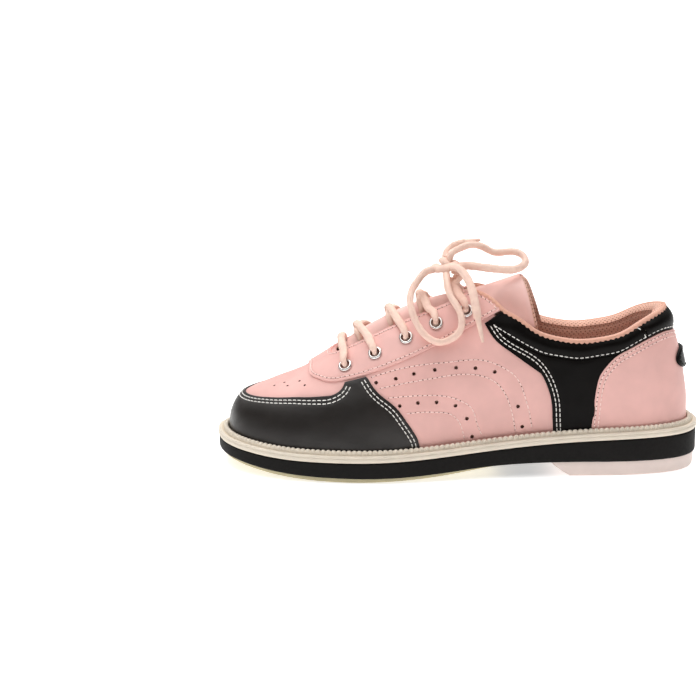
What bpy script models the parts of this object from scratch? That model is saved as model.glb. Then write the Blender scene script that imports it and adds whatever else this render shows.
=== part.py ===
"""A low-cut bowling shoe for the left foot, built from its separate pieces.

Metres, +Z up. The toe points to -X, the heel to +X, the outer (lateral) side to -Y. The ground is at Z = 0.

The upper's outer skin is one curved form. A point of it is given by a station and a height:
the station q runs from 0 at the toe to -1 (lateral side) or +1 (medial side) at the back of the heel,
and the height h runs from 0 at the welt to 1 on the ridge over the instep.
Every panel is a patch of that form, moved inward by the depth of its layer.
"""
import math

import bmesh
import bpy
import numpy as np
from mathutils import Matrix, Vector

MM = 0.001
NAME = "bowling_shoe"

# Driving sizes, in millimetres unless the name says otherwise.
LENGTH = 270.0
GAP = 0.4                     # air between pieces that touch in the real shoe
FEATHER_INSET = 6.2           # from the welt's outer edge to the foot of the upper
WELT_THICKNESS = 4.2
WELT_RIB_HEIGHT = 6.2
LEATHER = 1.1
LAYER_2 = -1.75               # depth of the panels that lie under another panel
LAYER_3 = -3.4                # depth of the lining, and of the toe puff
LINING = 0.8
TOE_LINING_DEPTH = -5.2
COLLAR_LINING_DEPTH = -7.0
COLLAR_PADDING = 3.8
COLLAR_SWELL = 1.2
BINDING_RADIUS = 2.1
LACE_RADIUS = 2.1
LACE_SQUEEZED = 1.1           # radius where an eyelet or the facing pinches the lace
EYELET_HOLE_RADIUS = 3.3
INSOLE_INSET = 12.9
BOARD_BOTTOM = 2.7            # heights above the midsole's top
BOARD_TOP = 4.5
SOCK_BOTTOM = 4.9
SOCK_TOP = 8.0
TONGUE_PADDING = 1.6

# The welt's outer edge seen from above: distance from the toe, and distance to the side.
LATERAL_EDGE = [(4, -13), (16, -28), (38, -40), (66, -46), (92, -47), (118, -43.5),
                (145, -38), (172, -34.5), (200, -33), (226, -32), (248, -27.5), (263, -18.5)]
MEDIAL_EDGE = [(3.5, 21), (13, 32), (32, 41), (56, 44.5), (80, 43.5), (105, 37.5),
               (132, 30), (160, 26.5), (190, 28.5), (220, 31), (246, 28), (263, 18.5)]
TOE_TIP_Y = 6.0


def spline(xs, ys):
    """A natural cubic spline through (xs, ys); ys may have several columns."""
    xs = np.asarray(xs, float)
    ys = np.asarray(ys, float)
    count = len(xs)
    step = np.diff(xs)
    system = np.eye(count)
    right = np.zeros_like(ys)
    for i in range(1, count - 1):
        system[i, i - 1:i + 2] = step[i - 1], 2 * (step[i - 1] + step[i]), step[i]
        right[i] = 6 * ((ys[i + 1] - ys[i]) / step[i] - (ys[i] - ys[i - 1]) / step[i - 1])
    bend = np.linalg.solve(system, right)

    def at(x):
        x = np.asarray(x, float)
        i = np.clip(np.searchsorted(xs, x) - 1, 0, count - 2)
        before = xs[i + 1] - x
        after = x - xs[i]
        width = step[i]
        if ys.ndim > 1:
            before = before[..., None]
            after = after[..., None]
            width = width[..., None]
        cubic = (bend[i] * before ** 3 + bend[i + 1] * after ** 3) / (6 * width)
        line = (ys[i] / width - bend[i] * width / 6) * before
        return cubic + line + (ys[i + 1] / width - bend[i + 1] * width / 6) * after
    return at


def profile(*points):
    """A value that changes along the shoe, from (distance from the toe, value) pairs."""
    table = np.array(points, float)
    return spline(table[:, 0], table[:, 1])


def smooth(t):
    t = np.clip(t, 0, 1)
    return t * t * (3 - 2 * t)


# Heights along the shoe.
sole_top = profile((0, 15.0), (12, 13.8), (35, 12.0), (62, 11.4), (90, 11.6), (130, 13.8),
                   (160, 16.5), (195, 19.4), (226, 20.9), (270, 21.6))
sole_bottom = profile((0, 9.2), (12, 7.6), (35, 4.8), (62, 3.3), (90, 3.1), (115, 4.1),
                      (130, 5.3), (150, 7.2), (170, 8.3), (195, 8.8), (230, 8.8), (270, 8.8))
pad_bottom = profile((0, 7.4), (12, 5.2), (35, 2.0), (55, 0.5), (75, 0.0), (92, 0.3),
                     (115, 1.5), (130, 3.0), (157, 6.9), (270, 8.0))
ridge_z = profile((0, 36), (15, 43), (36, 49.5), (48, 54.5), (56, 59), (64, 65), (82, 77),
                  (105, 89.5), (128, 99.5), (141, 104.5), (165, 114), (190, 122), (215, 128),
                  (240, 132), (270, 134))
ridge_y = profile((0, 6), (40, 4), (80, 1), (120, -1.5), (160, -2), (200, -1), (270, 0))

# How full the side of the upper is: where its two middle control points lie.
side_rise = profile((0, .72), (30, .66), (70, .58), (120, .58), (160, .66), (200, .74),
                    (235, .66), (270, .42))
side_reach = profile((0, .62), (30, .60), (70, .52), (120, .50), (160, .60), (200, .68),
                     (235, .62), (270, .50))
side_bulge = profile((0, 1.5), (30, 2.0), (80, 2.5), (130, 2.5), (180, 2.5), (230, 3.0), (270, 3.5))

# The side lines lean back at the toe and forward at the heel, which rounds both ends.
TOE_LEAN, TOE_LEAN_LENGTH = 36.0, 85.0
HEEL_LEAN, HEEL_LEAN_LENGTH = 56.0, 120.0
HEEL_TOP_START, HEEL_BASE_START = 186.0, 197.0


def distance(q):
    """Distance from the toe at station q."""
    return LENGTH / 2 * (1 - np.cos(np.pi * np.asarray(q, float)))


def station(x):
    """The station, without its side's sign, at a distance from the toe."""
    return np.arccos(1 - 2 * np.asarray(x, float) / LENGTH) / np.pi


def make_edge_line():
    stations = [-1.0] + [-float(station(x)) for x, y in LATERAL_EDGE[::-1]] + [0.0]
    stations += [float(station(x)) for x, y in MEDIAL_EDGE] + [1.0]
    sides = [0.0] + [y for x, y in LATERAL_EDGE[::-1]] + [TOE_TIP_Y] + [y for x, y in MEDIAL_EDGE] + [0.0]
    stations = [q - 2 for q in stations[-4:-1]] + stations + [q + 2 for q in stations[1:4]]
    sides = sides[-4:-1] + sides + sides[1:4]
    return spline(stations, sides)


edge_y = make_edge_line()


def outline(q, inset=0.0):
    """The welt's outer edge seen from above, moved inward by inset."""
    q = np.asarray(q, float)
    step = 1e-3

    def at(value):
        return np.stack([distance(value), edge_y(value)], -1)
    along = at(q + step) - at(q - step)
    along /= np.linalg.norm(along, axis=-1, keepdims=True)
    inward = np.stack([along[..., 1], -along[..., 0]], -1)
    return at(q) + inward * np.asarray(inset, float)[..., None]


_edge = outline(np.linspace(-1, 1, 721))
ORIGIN = np.append((_edge.min(axis=0) + _edge.max(axis=0)) / 2, 0.0)


def ridge_x(x):
    return (x + TOE_LEAN * (1 - smooth(x / TOE_LEAN_LENGTH))
            - HEEL_LEAN * smooth((x - LENGTH + HEEL_LEAN_LENGTH) / HEEL_LEAN_LENGTH))


def form(q, h):
    """A point of the upper's outer skin."""
    q, h = np.broadcast_arrays(np.asarray(q, float), np.asarray(h, float))
    q = np.where(q < -1, q + 2, np.where(q > 1, q - 2, q))
    x = distance(q)
    foot = outline(q, FEATHER_INSET)
    low = np.stack([foot[..., 0], foot[..., 1], sole_top(foot[..., 0]) + GAP], -1)
    top_x = ridge_x(x)
    high = np.stack([top_x, ridge_y(top_x), ridge_z(top_x)], -1)
    across = high - low
    height = across[..., 2].copy()
    across[..., 2] = 0
    inward = across / np.linalg.norm(across, axis=-1, keepdims=True)
    second = low - inward * side_bulge(x)[..., None]
    second[..., 2] = low[..., 2] + side_rise(x) * height
    reach = side_reach(x)
    third = high - across * reach[..., None]
    slope = (ridge_z(top_x + 0.1) - ridge_z(top_x - 0.1)) / 0.2
    third[..., 2] = high[..., 2] - slope * across[..., 0] * reach
    t = h[..., None]
    return low * (1 - t) ** 3 + 3 * second * t * (1 - t) ** 2 + 3 * third * t * t * (1 - t) + high * t ** 3


def side_normal(q, h):
    step = 2e-3
    h = np.clip(h, step, 0.985)
    along = form(q + step, h) - form(q - step, h)
    up = form(q, h + step) - form(q, h - step)
    normal = np.cross(up, along)
    return normal / np.linalg.norm(normal, axis=-1, keepdims=True)


def outward(q, h):
    """The direction straight out of the skin. On the ridge the two sides share one direction."""
    q, h = np.broadcast_arrays(np.asarray(q, float), np.asarray(h, float))
    normal = side_normal(q, h)
    shared = normal + side_normal(-q, h)
    shared /= np.linalg.norm(shared, axis=-1, keepdims=True)
    return np.where((h > 0.999)[..., None], shared, normal)


def skin(q, h, depth=0.0):
    """A point above (+) or below (-) the outer skin."""
    return form(q, h) + outward(q, h) * np.asarray(depth, float)[..., None]


# Lines on the upper, as (station, height) on the lateral side. The medial side mirrors them.
STAY_LOWER = [(-.192, .994), (-.218, .90), (-.239, .794), (-.261, .694), (-.286, .610), (-.304, .556),
              (-.323, .522), (-.342, .506), (-.367, .493), (-.407, .483), (-.445, .489), (-.470, .502),
              (-.510, .531), (-.557, .560)]
THROAT = [(-.290, .994), (-.297, .92), (-.315, .855), (-.345, .820), (-.389, .795), (-.445, .785),
          (-.482, .785), (-.516, .823)]
STAY_TOP = [(-.516, .823), (-.538, .690), (-.557, .560)]
TOPLINE = [(-.557, .548), (-.585, .451), (-.604, .380), (-.623, .343), (-.644, .318), (-.669, .303),
           (-.697, .305), (-.741, .326), (-.788, .375), (-.866, .439), (-1, .485)]
COLLAR_LOWER = [(-.534, .520), (-.557, .431), (-.576, .368), (-.598, .309), (-.613, .280), (-.632, .259),
                (-.663, .238), (-.694, .242), (-.735, .259), (-.769, .293), (-.813, .334), (-.872, .372),
                (-1, .385)]
CAP_TOP = [(0, .545), (-.036, .543), (-.095, .531), (-.145, .514), (-.195, .497), (-.242, .477),
           (-.267, .453), (-.295, .426), (-.314, .414), (-.326, .422), (-.335, .443), (-.341, .490)]
CAP_REAR = [(-.452, 0), (-.448, .075), (-.442, .113), (-.432, .167), (-.423, .217), (-.413, .263),
            (-.398, .322), (-.385, .393), (-.379, .443), (-.375, .476)]
QUARTER_FRONT = [(-.629, 0), (-.626, .063), (-.625, .1), (-.619, .159), (-.604, .234), (-.585, .288),
                 (-.569, .330), (-.548, .410), (-.532, .495)]
HEEL_COVER_FRONT = [(-.679, 0), (-.685, .075), (-.688, .125), (-.694, .171), (-.707, .209),
                    (-.722, .238), (-.747, .258)]
EYELETS = [(-.341, .622), (-.388, .612), (-.431, .627), (-.471, .642), (-.510, .648)]
STATION_GAP = 0.0022          # about GAP, measured as a station
HEIGHT_GAP = 0.010            # about GAP, measured as a height
SHAPE_SCALE = np.array([330.0, 75.0])   # millimetres per unit of station and of height


def line_at(points, q):
    """The height of a line at a station on it."""
    table = np.array(points[::-1], float)
    return np.interp(q, table[:, 0], table[:, 1])


def leg(points, count):
    """count + 1 evenly spaced (station, height) pairs on a smooth line through the points."""
    points = np.array(points, float)
    lengths = np.linalg.norm(np.diff(points * SHAPE_SCALE, axis=0), axis=1)
    run = np.concatenate([[0], np.cumsum(lengths)])
    if len(points) == 2:
        return points[0] + (points[1] - points[0]) * np.linspace(0, 1, count + 1)[:, None]
    return spline(run, points)(np.linspace(0, run[-1], count + 1))


def legs(*parts):
    """Several legs joined end to end, with a corner at each joint."""
    lines = [leg(points, count) for points, count in parts]
    return np.vstack([lines[0]] + [line[1:] for line in lines[1:]])


def cut(points, start, stop):
    """The piece of a line between two stations, with its inner points kept."""
    inner = [p for p in points if stop < p[0] < start]
    return [(start, float(line_at(points, start)))] + inner + [(stop, float(line_at(points, stop)))]


def shift(points, dq=0.0, dh=0.0):
    return [(q + dq, h + dh) for q, h in points]


def patch(bottom, top, front, rear):
    """Fills four edges: bottom and top run backward, front and rear run up."""
    u = np.linspace(0, 1, len(bottom))[:, None, None]
    v = np.linspace(0, 1, len(front))[None, :, None]
    between = (1 - v) * bottom[:, None] + v * top[:, None] + (1 - u) * front[None] + u * rear[None]
    corners = ((1 - u) * (1 - v) * bottom[0] + u * (1 - v) * bottom[-1]
               + (1 - u) * v * top[0] + u * v * top[-1])
    return between - corners


def mirrored(grid):
    return grid * np.array([-1.0, 1.0])


def both_sides(grid, end):
    """Joins a lateral grid to its mirror image at the toe (first row) or at the heel (last row)."""
    other = mirrored(grid)
    if end == "toe":
        return np.concatenate([grid[::-1], other[1:]])
    return np.concatenate([grid, other[::-1][1:]])


# ---------------------------------------------------------------- scene and helpers

for old in list(bpy.data.objects):
    bpy.data.objects.remove(old, do_unlink=True)

shoe = bpy.data.collections.new(NAME)
cutters = bpy.data.collections.new(NAME + "_cutters")
bpy.context.scene.collection.children.link(shoe)
bpy.context.scene.collection.children.link(cutters)


def material(name, colour, roughness, metallic=0.0):
    made = bpy.data.materials.new(name)
    made.use_nodes = True
    shader = made.node_tree.nodes["Principled BSDF"]
    shader.inputs["Base Color"].default_value = (*colour, 1)
    shader.inputs["Roughness"].default_value = roughness
    shader.inputs["Metallic"].default_value = metallic
    made.diffuse_color = (*colour, 1)
    return made


PINK = (0.70, 0.36, 0.34)
BLACK = (0.012, 0.011, 0.012)
CREAM = (0.74, 0.70, 0.62)
PEACH = (0.80, 0.45, 0.34)
LACE_COLOUR = (0.87, 0.56, 0.47)
SILVER = (0.82, 0.82, 0.80)


def leather(name, colour):
    return material(name + "_leather", colour, 0.45 if colour is PINK else 0.38)


def finish(obj, surface, smooth_angle=40):
    obj.data.materials.clear()
    obj.data.materials.append(surface)
    obj.data.shade_smooth()
    obj.data.set_sharp_from_angle(angle=math.radians(smooth_angle))
    return obj


def placed(points):
    """Millimetres from the toe to metres in the shoe's own frame."""
    return (np.asarray(points, float) - ORIGIN) * MM


def mesh_object(name, points, faces, surface, closed=False):
    mesh = bpy.data.meshes.new(name)
    mesh.from_pydata([tuple(p) for p in placed(points)], [], faces)
    build = bmesh.new()
    build.from_mesh(mesh)
    bmesh.ops.remove_doubles(build, verts=build.verts, dist=0.00002)
    if closed:
        bmesh.ops.recalc_face_normals(build, faces=build.faces)
    build.to_mesh(mesh)
    build.free()
    obj = bpy.data.objects.new(name, mesh)
    shoe.objects.link(obj)
    return finish(obj, surface)


def thicken(obj, thickness):
    solid = obj.modifiers.new("thickness", "SOLIDIFY")
    solid.thickness = thickness * MM
    solid.offset = -1


def sheet(name, grid, depth, thickness, surface):
    """A panel: an open patch of the form, thickened inward."""
    points = skin(grid[..., 0], grid[..., 1], depth)
    return thick_patch(name, points, outward(grid[..., 0], grid[..., 1]), thickness, surface)


def thick_patch(name, points, normals, thickness, surface):
    rows, columns = points.shape[:2]
    faces = []
    for i in range(rows - 1):
        for j in range(columns - 1):
            a = i * columns + j
            faces.append((a, a + columns, a + columns + 1, a + 1))
    i, j = rows // 2, columns // 2
    turn = np.cross(points[i, j] - points[i - 1, j], points[i, j] - points[i, j - 1])
    if np.dot(turn, normals[i, j]) < 0:
        faces = [face[::-1] for face in faces]
    obj = mesh_object(name, points.reshape(-1, 3), faces, surface)
    thicken(obj, thickness)
    return obj


def slab(name, top_ring, bottom_ring, surface):
    """A sole piece between two rings that run from the lateral side round to the medial side."""
    count = len(top_ring)
    points = np.vstack([top_ring, bottom_ring])
    faces = []
    for i in range(count // 2):
        j = count - 1 - i
        if j - i > 2:
            faces.append((i, j, j - 1, i + 1))
            faces.append((count + i + 1, count + j - 1, count + j, count + i))
        else:
            faces.append((i, j, i + 1))
            faces.append((count + i + 1, count + j, count + i))
    for i in range(count):
        j = (i + 1) % count
        faces.append((i, i + 1, count + i + 1, count + i) if j else (i, 0, count, count + i))
    return mesh_object(name, points, faces, surface, closed=True)


def ring(first, last, inset, height, count):
    """Points at equal stations on both sides. It closes at the toe (first = 0) or the heel (last = 1)."""
    if last < 1:
        half = np.linspace(first, last, count + 1)
        q = np.concatenate([-half[::-1], half[1:]])
    else:
        half = np.linspace(first, 1, count + 1)
        q = np.concatenate([-half, half[::-1][1:]])
    xy = outline(q, inset)
    return np.column_stack([xy, np.broadcast_to(height(xy[:, 0]), len(q))])


def above(base, extra):
    return lambda x: base(x) + extra


# ---------------------------------------------------------------- sole

def full_slab(name, inset, top, bottom, surface, count=22):
    """A sole piece under the whole shoe; its ends are short flats at the toe and the heel."""
    half = np.linspace(0.004, 0.996, count + 1)
    q = np.concatenate([-half, half[::-1]])
    xy = outline(q, inset)
    rings = [np.column_stack([xy, height(xy[:, 0])]) for height in (top, bottom)]
    points = np.vstack(rings)
    size = len(q)
    faces = []
    for i in range(count):
        j = size - 1 - i
        faces.append((i, j, j - 1, i + 1))
        faces.append((size + i + 1, size + j - 1, size + j, size + i))
    for i in range(size):
        j = (i + 1) % size
        faces.append((i, j, size + j, size + i))
    return mesh_object(name, points, faces, surface, closed=True)


def make_sole():
    rubber = material("midsole_rubber", (0.014, 0.013, 0.014), 0.55)
    full_slab("midsole", 0.4, sole_top, sole_bottom, rubber)
    board = material("insole_board_fibre", (0.45, 0.33, 0.22), 0.9)
    board_bottom = above(sole_top, BOARD_BOTTOM)
    full_slab("insole_board", INSOLE_INSET, above(sole_top, BOARD_TOP), board_bottom, board)
    sock = material("sock_liner_fabric", PEACH, 0.9)
    full_slab("sock_liner", INSOLE_INSET, above(sole_top, SOCK_TOP), above(sole_top, SOCK_BOTTOM), sock)

    pad_end = station(157)
    pad = material("slide_pad_microfibre", (0.72, 0.62, 0.42), 0.8)
    slab("slide_pad", ring(0, pad_end, 1.4, above(sole_bottom, -GAP), 18),
         ring(0, pad_end, 1.6, pad_bottom, 18), pad)
    heel_top = ring(station(HEEL_TOP_START), 1, 1.5, above(sole_bottom, -GAP), 14)
    heel_base = ring(station(HEEL_BASE_START), 1, 2.2, lambda x: 0 * x, 14)
    slab("heel", heel_top, heel_base, material("heel_rubber", (0.72, 0.60, 0.58), 0.5))

    filler_end = station(128)
    cork = material("sole_filler_cork", (0.50, 0.32, 0.18), 0.95)
    slab("sole_filler", ring(0, filler_end, INSOLE_INSET, above(sole_top, BOARD_BOTTOM - GAP), 12),
         ring(0, filler_end, INSOLE_INSET, above(sole_top, GAP), 12), cork)

    x = np.linspace(134, 236, 13)
    half_width = 8.0
    across = np.concatenate([np.full(13, -half_width), np.full(13, half_width)])
    along = np.concatenate([x, x[::-1]])
    top = np.column_stack([along, across, sole_top(along) + BOARD_BOTTOM - GAP])
    bottom = np.column_stack([along, across, sole_top(along) + GAP])
    steel = material("shank_steel", (0.45, 0.45, 0.47), 0.4, 1.0)
    slab("shank", top, bottom, steel)


def make_welt():
    """The storm welt: a flat ledge and an upright rib against the upper, as one closed band."""
    section = [(0.0, GAP), (0.0, WELT_THICKNESS), (2.5, WELT_THICKNESS), (3.0, WELT_RIB_HEIGHT),
               (4.9, WELT_RIB_HEIGHT), (5.4, GAP)]
    count = 60
    q = np.linspace(-1, 1, count, endpoint=False)
    rows = []
    for inset, rise in section:
        xy = outline(q, inset)
        rows.append(np.column_stack([xy, sole_top(xy[:, 0]) + rise]))
    points = np.vstack(rows)
    faces = []
    for k in range(len(section)):
        other = (k + 1) % len(section)
        for i in range(count):
            j = (i + 1) % count
            faces.append((k * count + i, k * count + j, other * count + j, other * count + i))
    mesh_object("welt", points, faces, material("welt_rubber", CREAM, 0.6), closed=True)


# ---------------------------------------------------------------- upper

def make_toe():
    bottom = leg([(0, 0), (-.15, 0), (-.30, 0), CAP_REAR[0]], 14)
    top = leg(CAP_TOP, 14)
    front = leg([(0, 0), (0, CAP_TOP[0][1])], 6)
    rear = legs((CAP_REAR, 5), ([CAP_REAR[-1], CAP_TOP[-1]], 1))
    cap = both_sides(patch(bottom, top, front, rear), "toe")
    sheet("toe_cap", cap, 0.0, LEATHER, leather("toe_cap", BLACK))

    bottom = leg([(0, 0), (-.345, 0)], 10)
    top = leg([(0, 1), (-.284, 1)], 10)
    front = leg([(0, 0), (0, 1)], 8)
    rear = legs(([(-.345, 0), (-.345, .52)], 4), ([(-.345, .52), (-.308, .57)], 1),
                ([(-.308, .57), (-.306, .84)], 2), ([(-.306, .84), (-.284, 1)], 1))
    vamp = both_sides(patch(bottom, top, front, rear), "toe")
    sheet("vamp", vamp, LAYER_2, LEATHER, leather("vamp", PINK))

    puff_reach = -.20
    bottom = leg([(0, .02), (puff_reach, .02)], 7)
    top = leg([(0, .50), (puff_reach, .46)], 7)
    puff = both_sides(patch(bottom, top, leg([(0, .02), (0, .50)], 5),
                            leg([(puff_reach, .02), (puff_reach, .46)], 5)), "toe")
    sheet("toe_puff", puff, LAYER_3 - .1, 0.8, material("toe_puff_thermoplastic", (0.62, 0.58, 0.50), 0.7))


def side_patches():
    """The lateral grids of the pieces that the shoe has twice."""
    panel_top = shift(cut(STAY_LOWER, -.349, -.536), dh=.030)
    panel_rear = shift(QUARTER_FRONT, dq=-.016)[:-1] + [(-.549, .49), panel_top[-1]]
    panel = patch(leg([(-.349, 0), panel_rear[0]], 10), leg(panel_top, 10),
                  leg([(-.349, 0), panel_top[0]], 5), leg(panel_rear, 5))

    cover_gap = shift(HEEL_COVER_FRONT, dq=STATION_GAP)
    quarter_top = shift(cut(COLLAR_LOWER, -.536, -.721), dh=-HEIGHT_GAP)
    quarter_rear = cover_gap[:-2] + [quarter_top[-1]]
    quarter_front = QUARTER_FRONT[:-1] + [quarter_top[0]]
    quarter = patch(leg([QUARTER_FRONT[0], cover_gap[0]], 8), leg(quarter_top, 8),
                    leg(quarter_front, 7), leg(quarter_rear, 7))

    stay = patch(leg(STAY_LOWER, 13), leg(THROAT, 13),
                 leg([STAY_LOWER[0], THROAT[0]], 3), leg(STAY_TOP[::-1], 3))

    backing_low = shift(cut(STAY_LOWER, -.315, -.535), dh=.046)
    backing_low = [(-.313, backing_low[1][1] + .01)] + backing_low[1:]
    backing_top = shift(cut(THROAT, -.313, -.512), dh=-.012)
    backing = patch(leg(backing_low, 10), leg(backing_top, 10),
                    leg([backing_low[0], backing_top[0]], 2), leg([backing_low[-1], backing_top[-1]], 2))

    collar_top = cut(TOPLINE, -.557, -.786)
    collar_low = cut(COLLAR_LOWER, -.534, -.811)
    collar = patch(leg(collar_low, 13), leg(collar_top, 13),
                   leg([collar_low[0], collar_top[0]], 3), leg([collar_low[-1], collar_top[-1]], 3))
    return {"side_panel": (panel, LAYER_2, PINK), "quarter": (quarter, 0.0, BLACK),
            "eyestay": (stay, 0.0, PINK), "collar": (collar, swell(collar), BLACK),
            "facing_backing": (backing, LAYER_2, CREAM)}


def swell(grid):
    """Padding pushes a patch out between its lower and upper edges."""
    across = np.sin(np.pi * np.linspace(0, 1, grid.shape[1]))
    return np.broadcast_to(COLLAR_SWELL * across, grid.shape[:2])


def make_sides():
    for name, (grid, depth, colour) in side_patches().items():
        for side, side_grid in (("lateral", grid), ("medial", mirrored(grid))):
            full_name = f"{name}_{side}"
            surface = leather(full_name, colour) if colour is not CREAM else material(
                full_name + "_fabric", CREAM, 0.9)
            thickness = LEATHER if name != "facing_backing" else 0.9
            obj = sheet(full_name, side_grid, depth, thickness, surface)
            if name in ("eyestay", "facing_backing"):
                cut_eyelet_holes(obj, side)


def make_heel():
    cover_top = shift(cut(COLLAR_LOWER, -.747, -1), dh=-HEIGHT_GAP)
    front = HEEL_COVER_FRONT[:-1] + [cover_top[0]]
    cover = patch(leg([HEEL_COVER_FRONT[0], (-1, 0)], 10), leg(cover_top, 10),
                  leg(front, 6), leg([(-1, 0), cover_top[-1]], 6))
    sheet("heel_cover", both_sides(cover, "heel"), 0.0, LEATHER, leather("heel_cover", PINK))

    tab_low = cut(COLLAR_LOWER, -.815, -1)
    tab_top = cut(TOPLINE, -.790, -1)
    tab = patch(leg(tab_low, 6), leg(tab_top, 6),
                leg([tab_low[0], tab_top[0]], 3), leg([tab_low[-1], tab_top[-1]], 3))
    tab = both_sides(tab, "heel")
    sheet("collar_back", tab, swell(tab), LEATHER, leather("collar_back", BLACK))

    counter = patch(leg([(-.72, .02), (-1, .02)], 8), leg([(-.74, .21), (-.86, .30), (-1, .32)], 8),
                    leg([(-.72, .02), (-.74, .21)], 4), leg([(-1, .02), (-1, .32)], 4))
    fibre = material("heel_counter_fibreboard", (0.55, 0.42, 0.30), 0.85)
    sheet("heel_counter", both_sides(counter, "heel"), LAYER_2, LEATHER, fibre)

    foam_low = shift(cut(COLLAR_LOWER, -.607, -1), dh=.01)
    foam_top = shift(cut(TOPLINE, -.613, -1), dh=-.01)
    foam = patch(leg(foam_low, 13), leg(foam_top, 13),
                 leg([foam_low[0], foam_top[0]], 2), leg([foam_low[-1], foam_top[-1]], 2))
    sheet("collar_foam", both_sides(foam, "heel"), -1.6, COLLAR_PADDING,
          material("collar_foam_foam", (0.85, 0.80, 0.55), 1.0))

    make_badge()


def height_at(q, level):
    """The height on each station's side line that lies at this level, in millimetres above the ground."""
    h = np.full(np.shape(q), .25)
    for _ in range(6):
        slope = (form(q, h + .01)[..., 2] - form(q, h - .01)[..., 2]) / .02
        h = h + (level - form(q, h)[..., 2]) / slope
    return h


def make_badge():
    """A plain oval leather badge at the back of the heel."""
    half_width, half_height = 14.0, 6.0
    middle_height = .275
    count = 14
    turns = np.linspace(0, 2 * np.pi, count, endpoint=False)
    circle = np.column_stack([np.cos(turns), np.sin(turns)])
    flat = np.vstack([np.zeros((1, 2))] + [circle * part for part in (.4, .75, 1)])
    stations = np.linspace(.80, 1.20, 81)
    row = form(stations, middle_height)
    run = np.concatenate([[0], np.cumsum(np.linalg.norm(np.diff(row, axis=0), axis=1))])
    q = np.interp(flat[:, 0] * half_width + run[40], run, stations)
    h = height_at(q, row[40, 2] + flat[:, 1] * half_height)
    points = skin(q, h, GAP + LEATHER + .45)
    faces = []
    for i in range(count):
        j = (i + 1) % count
        faces.append((0, 1 + i, 1 + j))
        for inner in (1, 1 + count):
            faces.append((inner + i, inner + count + i, inner + count + j, inner + j))
    turn = np.cross(points[1] - points[0], points[2] - points[0])
    if np.dot(turn, outward(1, middle_height)) < 0:
        faces = [face[::-1] for face in faces]
    badge = mesh_object("heel_badge", points, faces, material("heel_badge_leather", BLACK, 0.35))
    thicken(badge, LEATHER)


# ---------------------------------------------------------------- lining

def lining_depth(grid):
    """The lining sinks under the toe puff and under the collar's padding."""
    q = -np.abs(grid[..., 0])
    h = grid[..., 1]
    toe = 1 - smooth((-q - .21) / .10)
    collar = smooth((h - line_at(COLLAR_LOWER, q) + .12) / .085) * smooth((-q - .535) / .045)
    return LAYER_3 + (TOE_LINING_DEPTH - LAYER_3) * toe + (COLLAR_LINING_DEPTH - LAYER_3) * collar


def make_lining():
    split = -.409
    bottom = leg([(0, 0), (split, 0)], 13)
    throat = [(-.285, 1)] + shift(cut(THROAT, -.300, split), dh=-.015)
    top = legs(([(0, 1), (-.285, 1)], 8), (throat, 5))
    rear = leg([(split, 0), top[-1]], 8)
    front_half = both_sides(patch(bottom, top, leg([(0, 0), (0, 1)], 8), rear), "toe")
    fabric = material("vamp_lining_fabric", (0.80, 0.62, 0.52), 0.95)
    vamp_lining = sheet("vamp_lining", front_half, lining_depth(front_half), LINING, fabric)

    start = split - STATION_GAP
    bottom = leg([(start, 0), (-1, 0)], 20)
    throat = shift(cut(THROAT, start, -.516), dh=-.015)
    top = legs((throat, 4), ([throat[-1]] + STAY_TOP[1:], 3), (TOPLINE, 13))
    rear = leg([(-1, 0), TOPLINE[-1]], 7)
    back_half = both_sides(patch(bottom, top, leg([(start, 0), throat[0]], 7), rear), "heel")
    mesh_fabric = material("collar_lining_mesh", PEACH, 0.95)
    back_lining = sheet("collar_lining", back_half, lining_depth(back_half), LINING, mesh_fabric)
    for side in ("lateral", "medial"):
        cut_eyelet_holes(vamp_lining, side, range(0, 2))
        cut_eyelet_holes(back_lining, side, range(2, 5))


# ---------------------------------------------------------------- eyelets and lace

def side_sign(side):
    return 1 if side == "lateral" else -1


def eyelet_place(side, index):
    q, h = EYELETS[index]
    q *= side_sign(side)
    return skin(q, h), outward(q, h)


def eyelet_matrix(side, index):
    point, normal = eyelet_place(side, index)
    turn = Vector((0, 0, 1)).rotation_difference(Vector(normal)).to_matrix().to_4x4()
    return Matrix.Translation(Vector(placed(point))) @ turn


def eyelet_cutter(side, indexes):
    mesh = bpy.data.meshes.new("eyelet_holes")
    build = bmesh.new()
    for index in indexes:
        bmesh.ops.create_cone(build, cap_ends=True, segments=10, depth=0.014,
                              radius1=EYELET_HOLE_RADIUS * MM, radius2=EYELET_HOLE_RADIUS * MM,
                              matrix=eyelet_matrix(side, index))
    build.to_mesh(mesh)
    build.free()
    cutter = bpy.data.objects.new(f"cutter_{side}_{indexes[0]}_{indexes[-1]}", mesh)
    cutter.hide_render = True
    cutter.display_type = "WIRE"
    cutters.objects.link(cutter)
    return cutter


def cut_eyelet_holes(obj, side, indexes=range(5)):
    hole = obj.modifiers.new("holes_" + side, "BOOLEAN")
    hole.operation = "DIFFERENCE"
    hole.solver = "EXACT"
    hole.object = eyelet_cutter(side, indexes)


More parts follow.
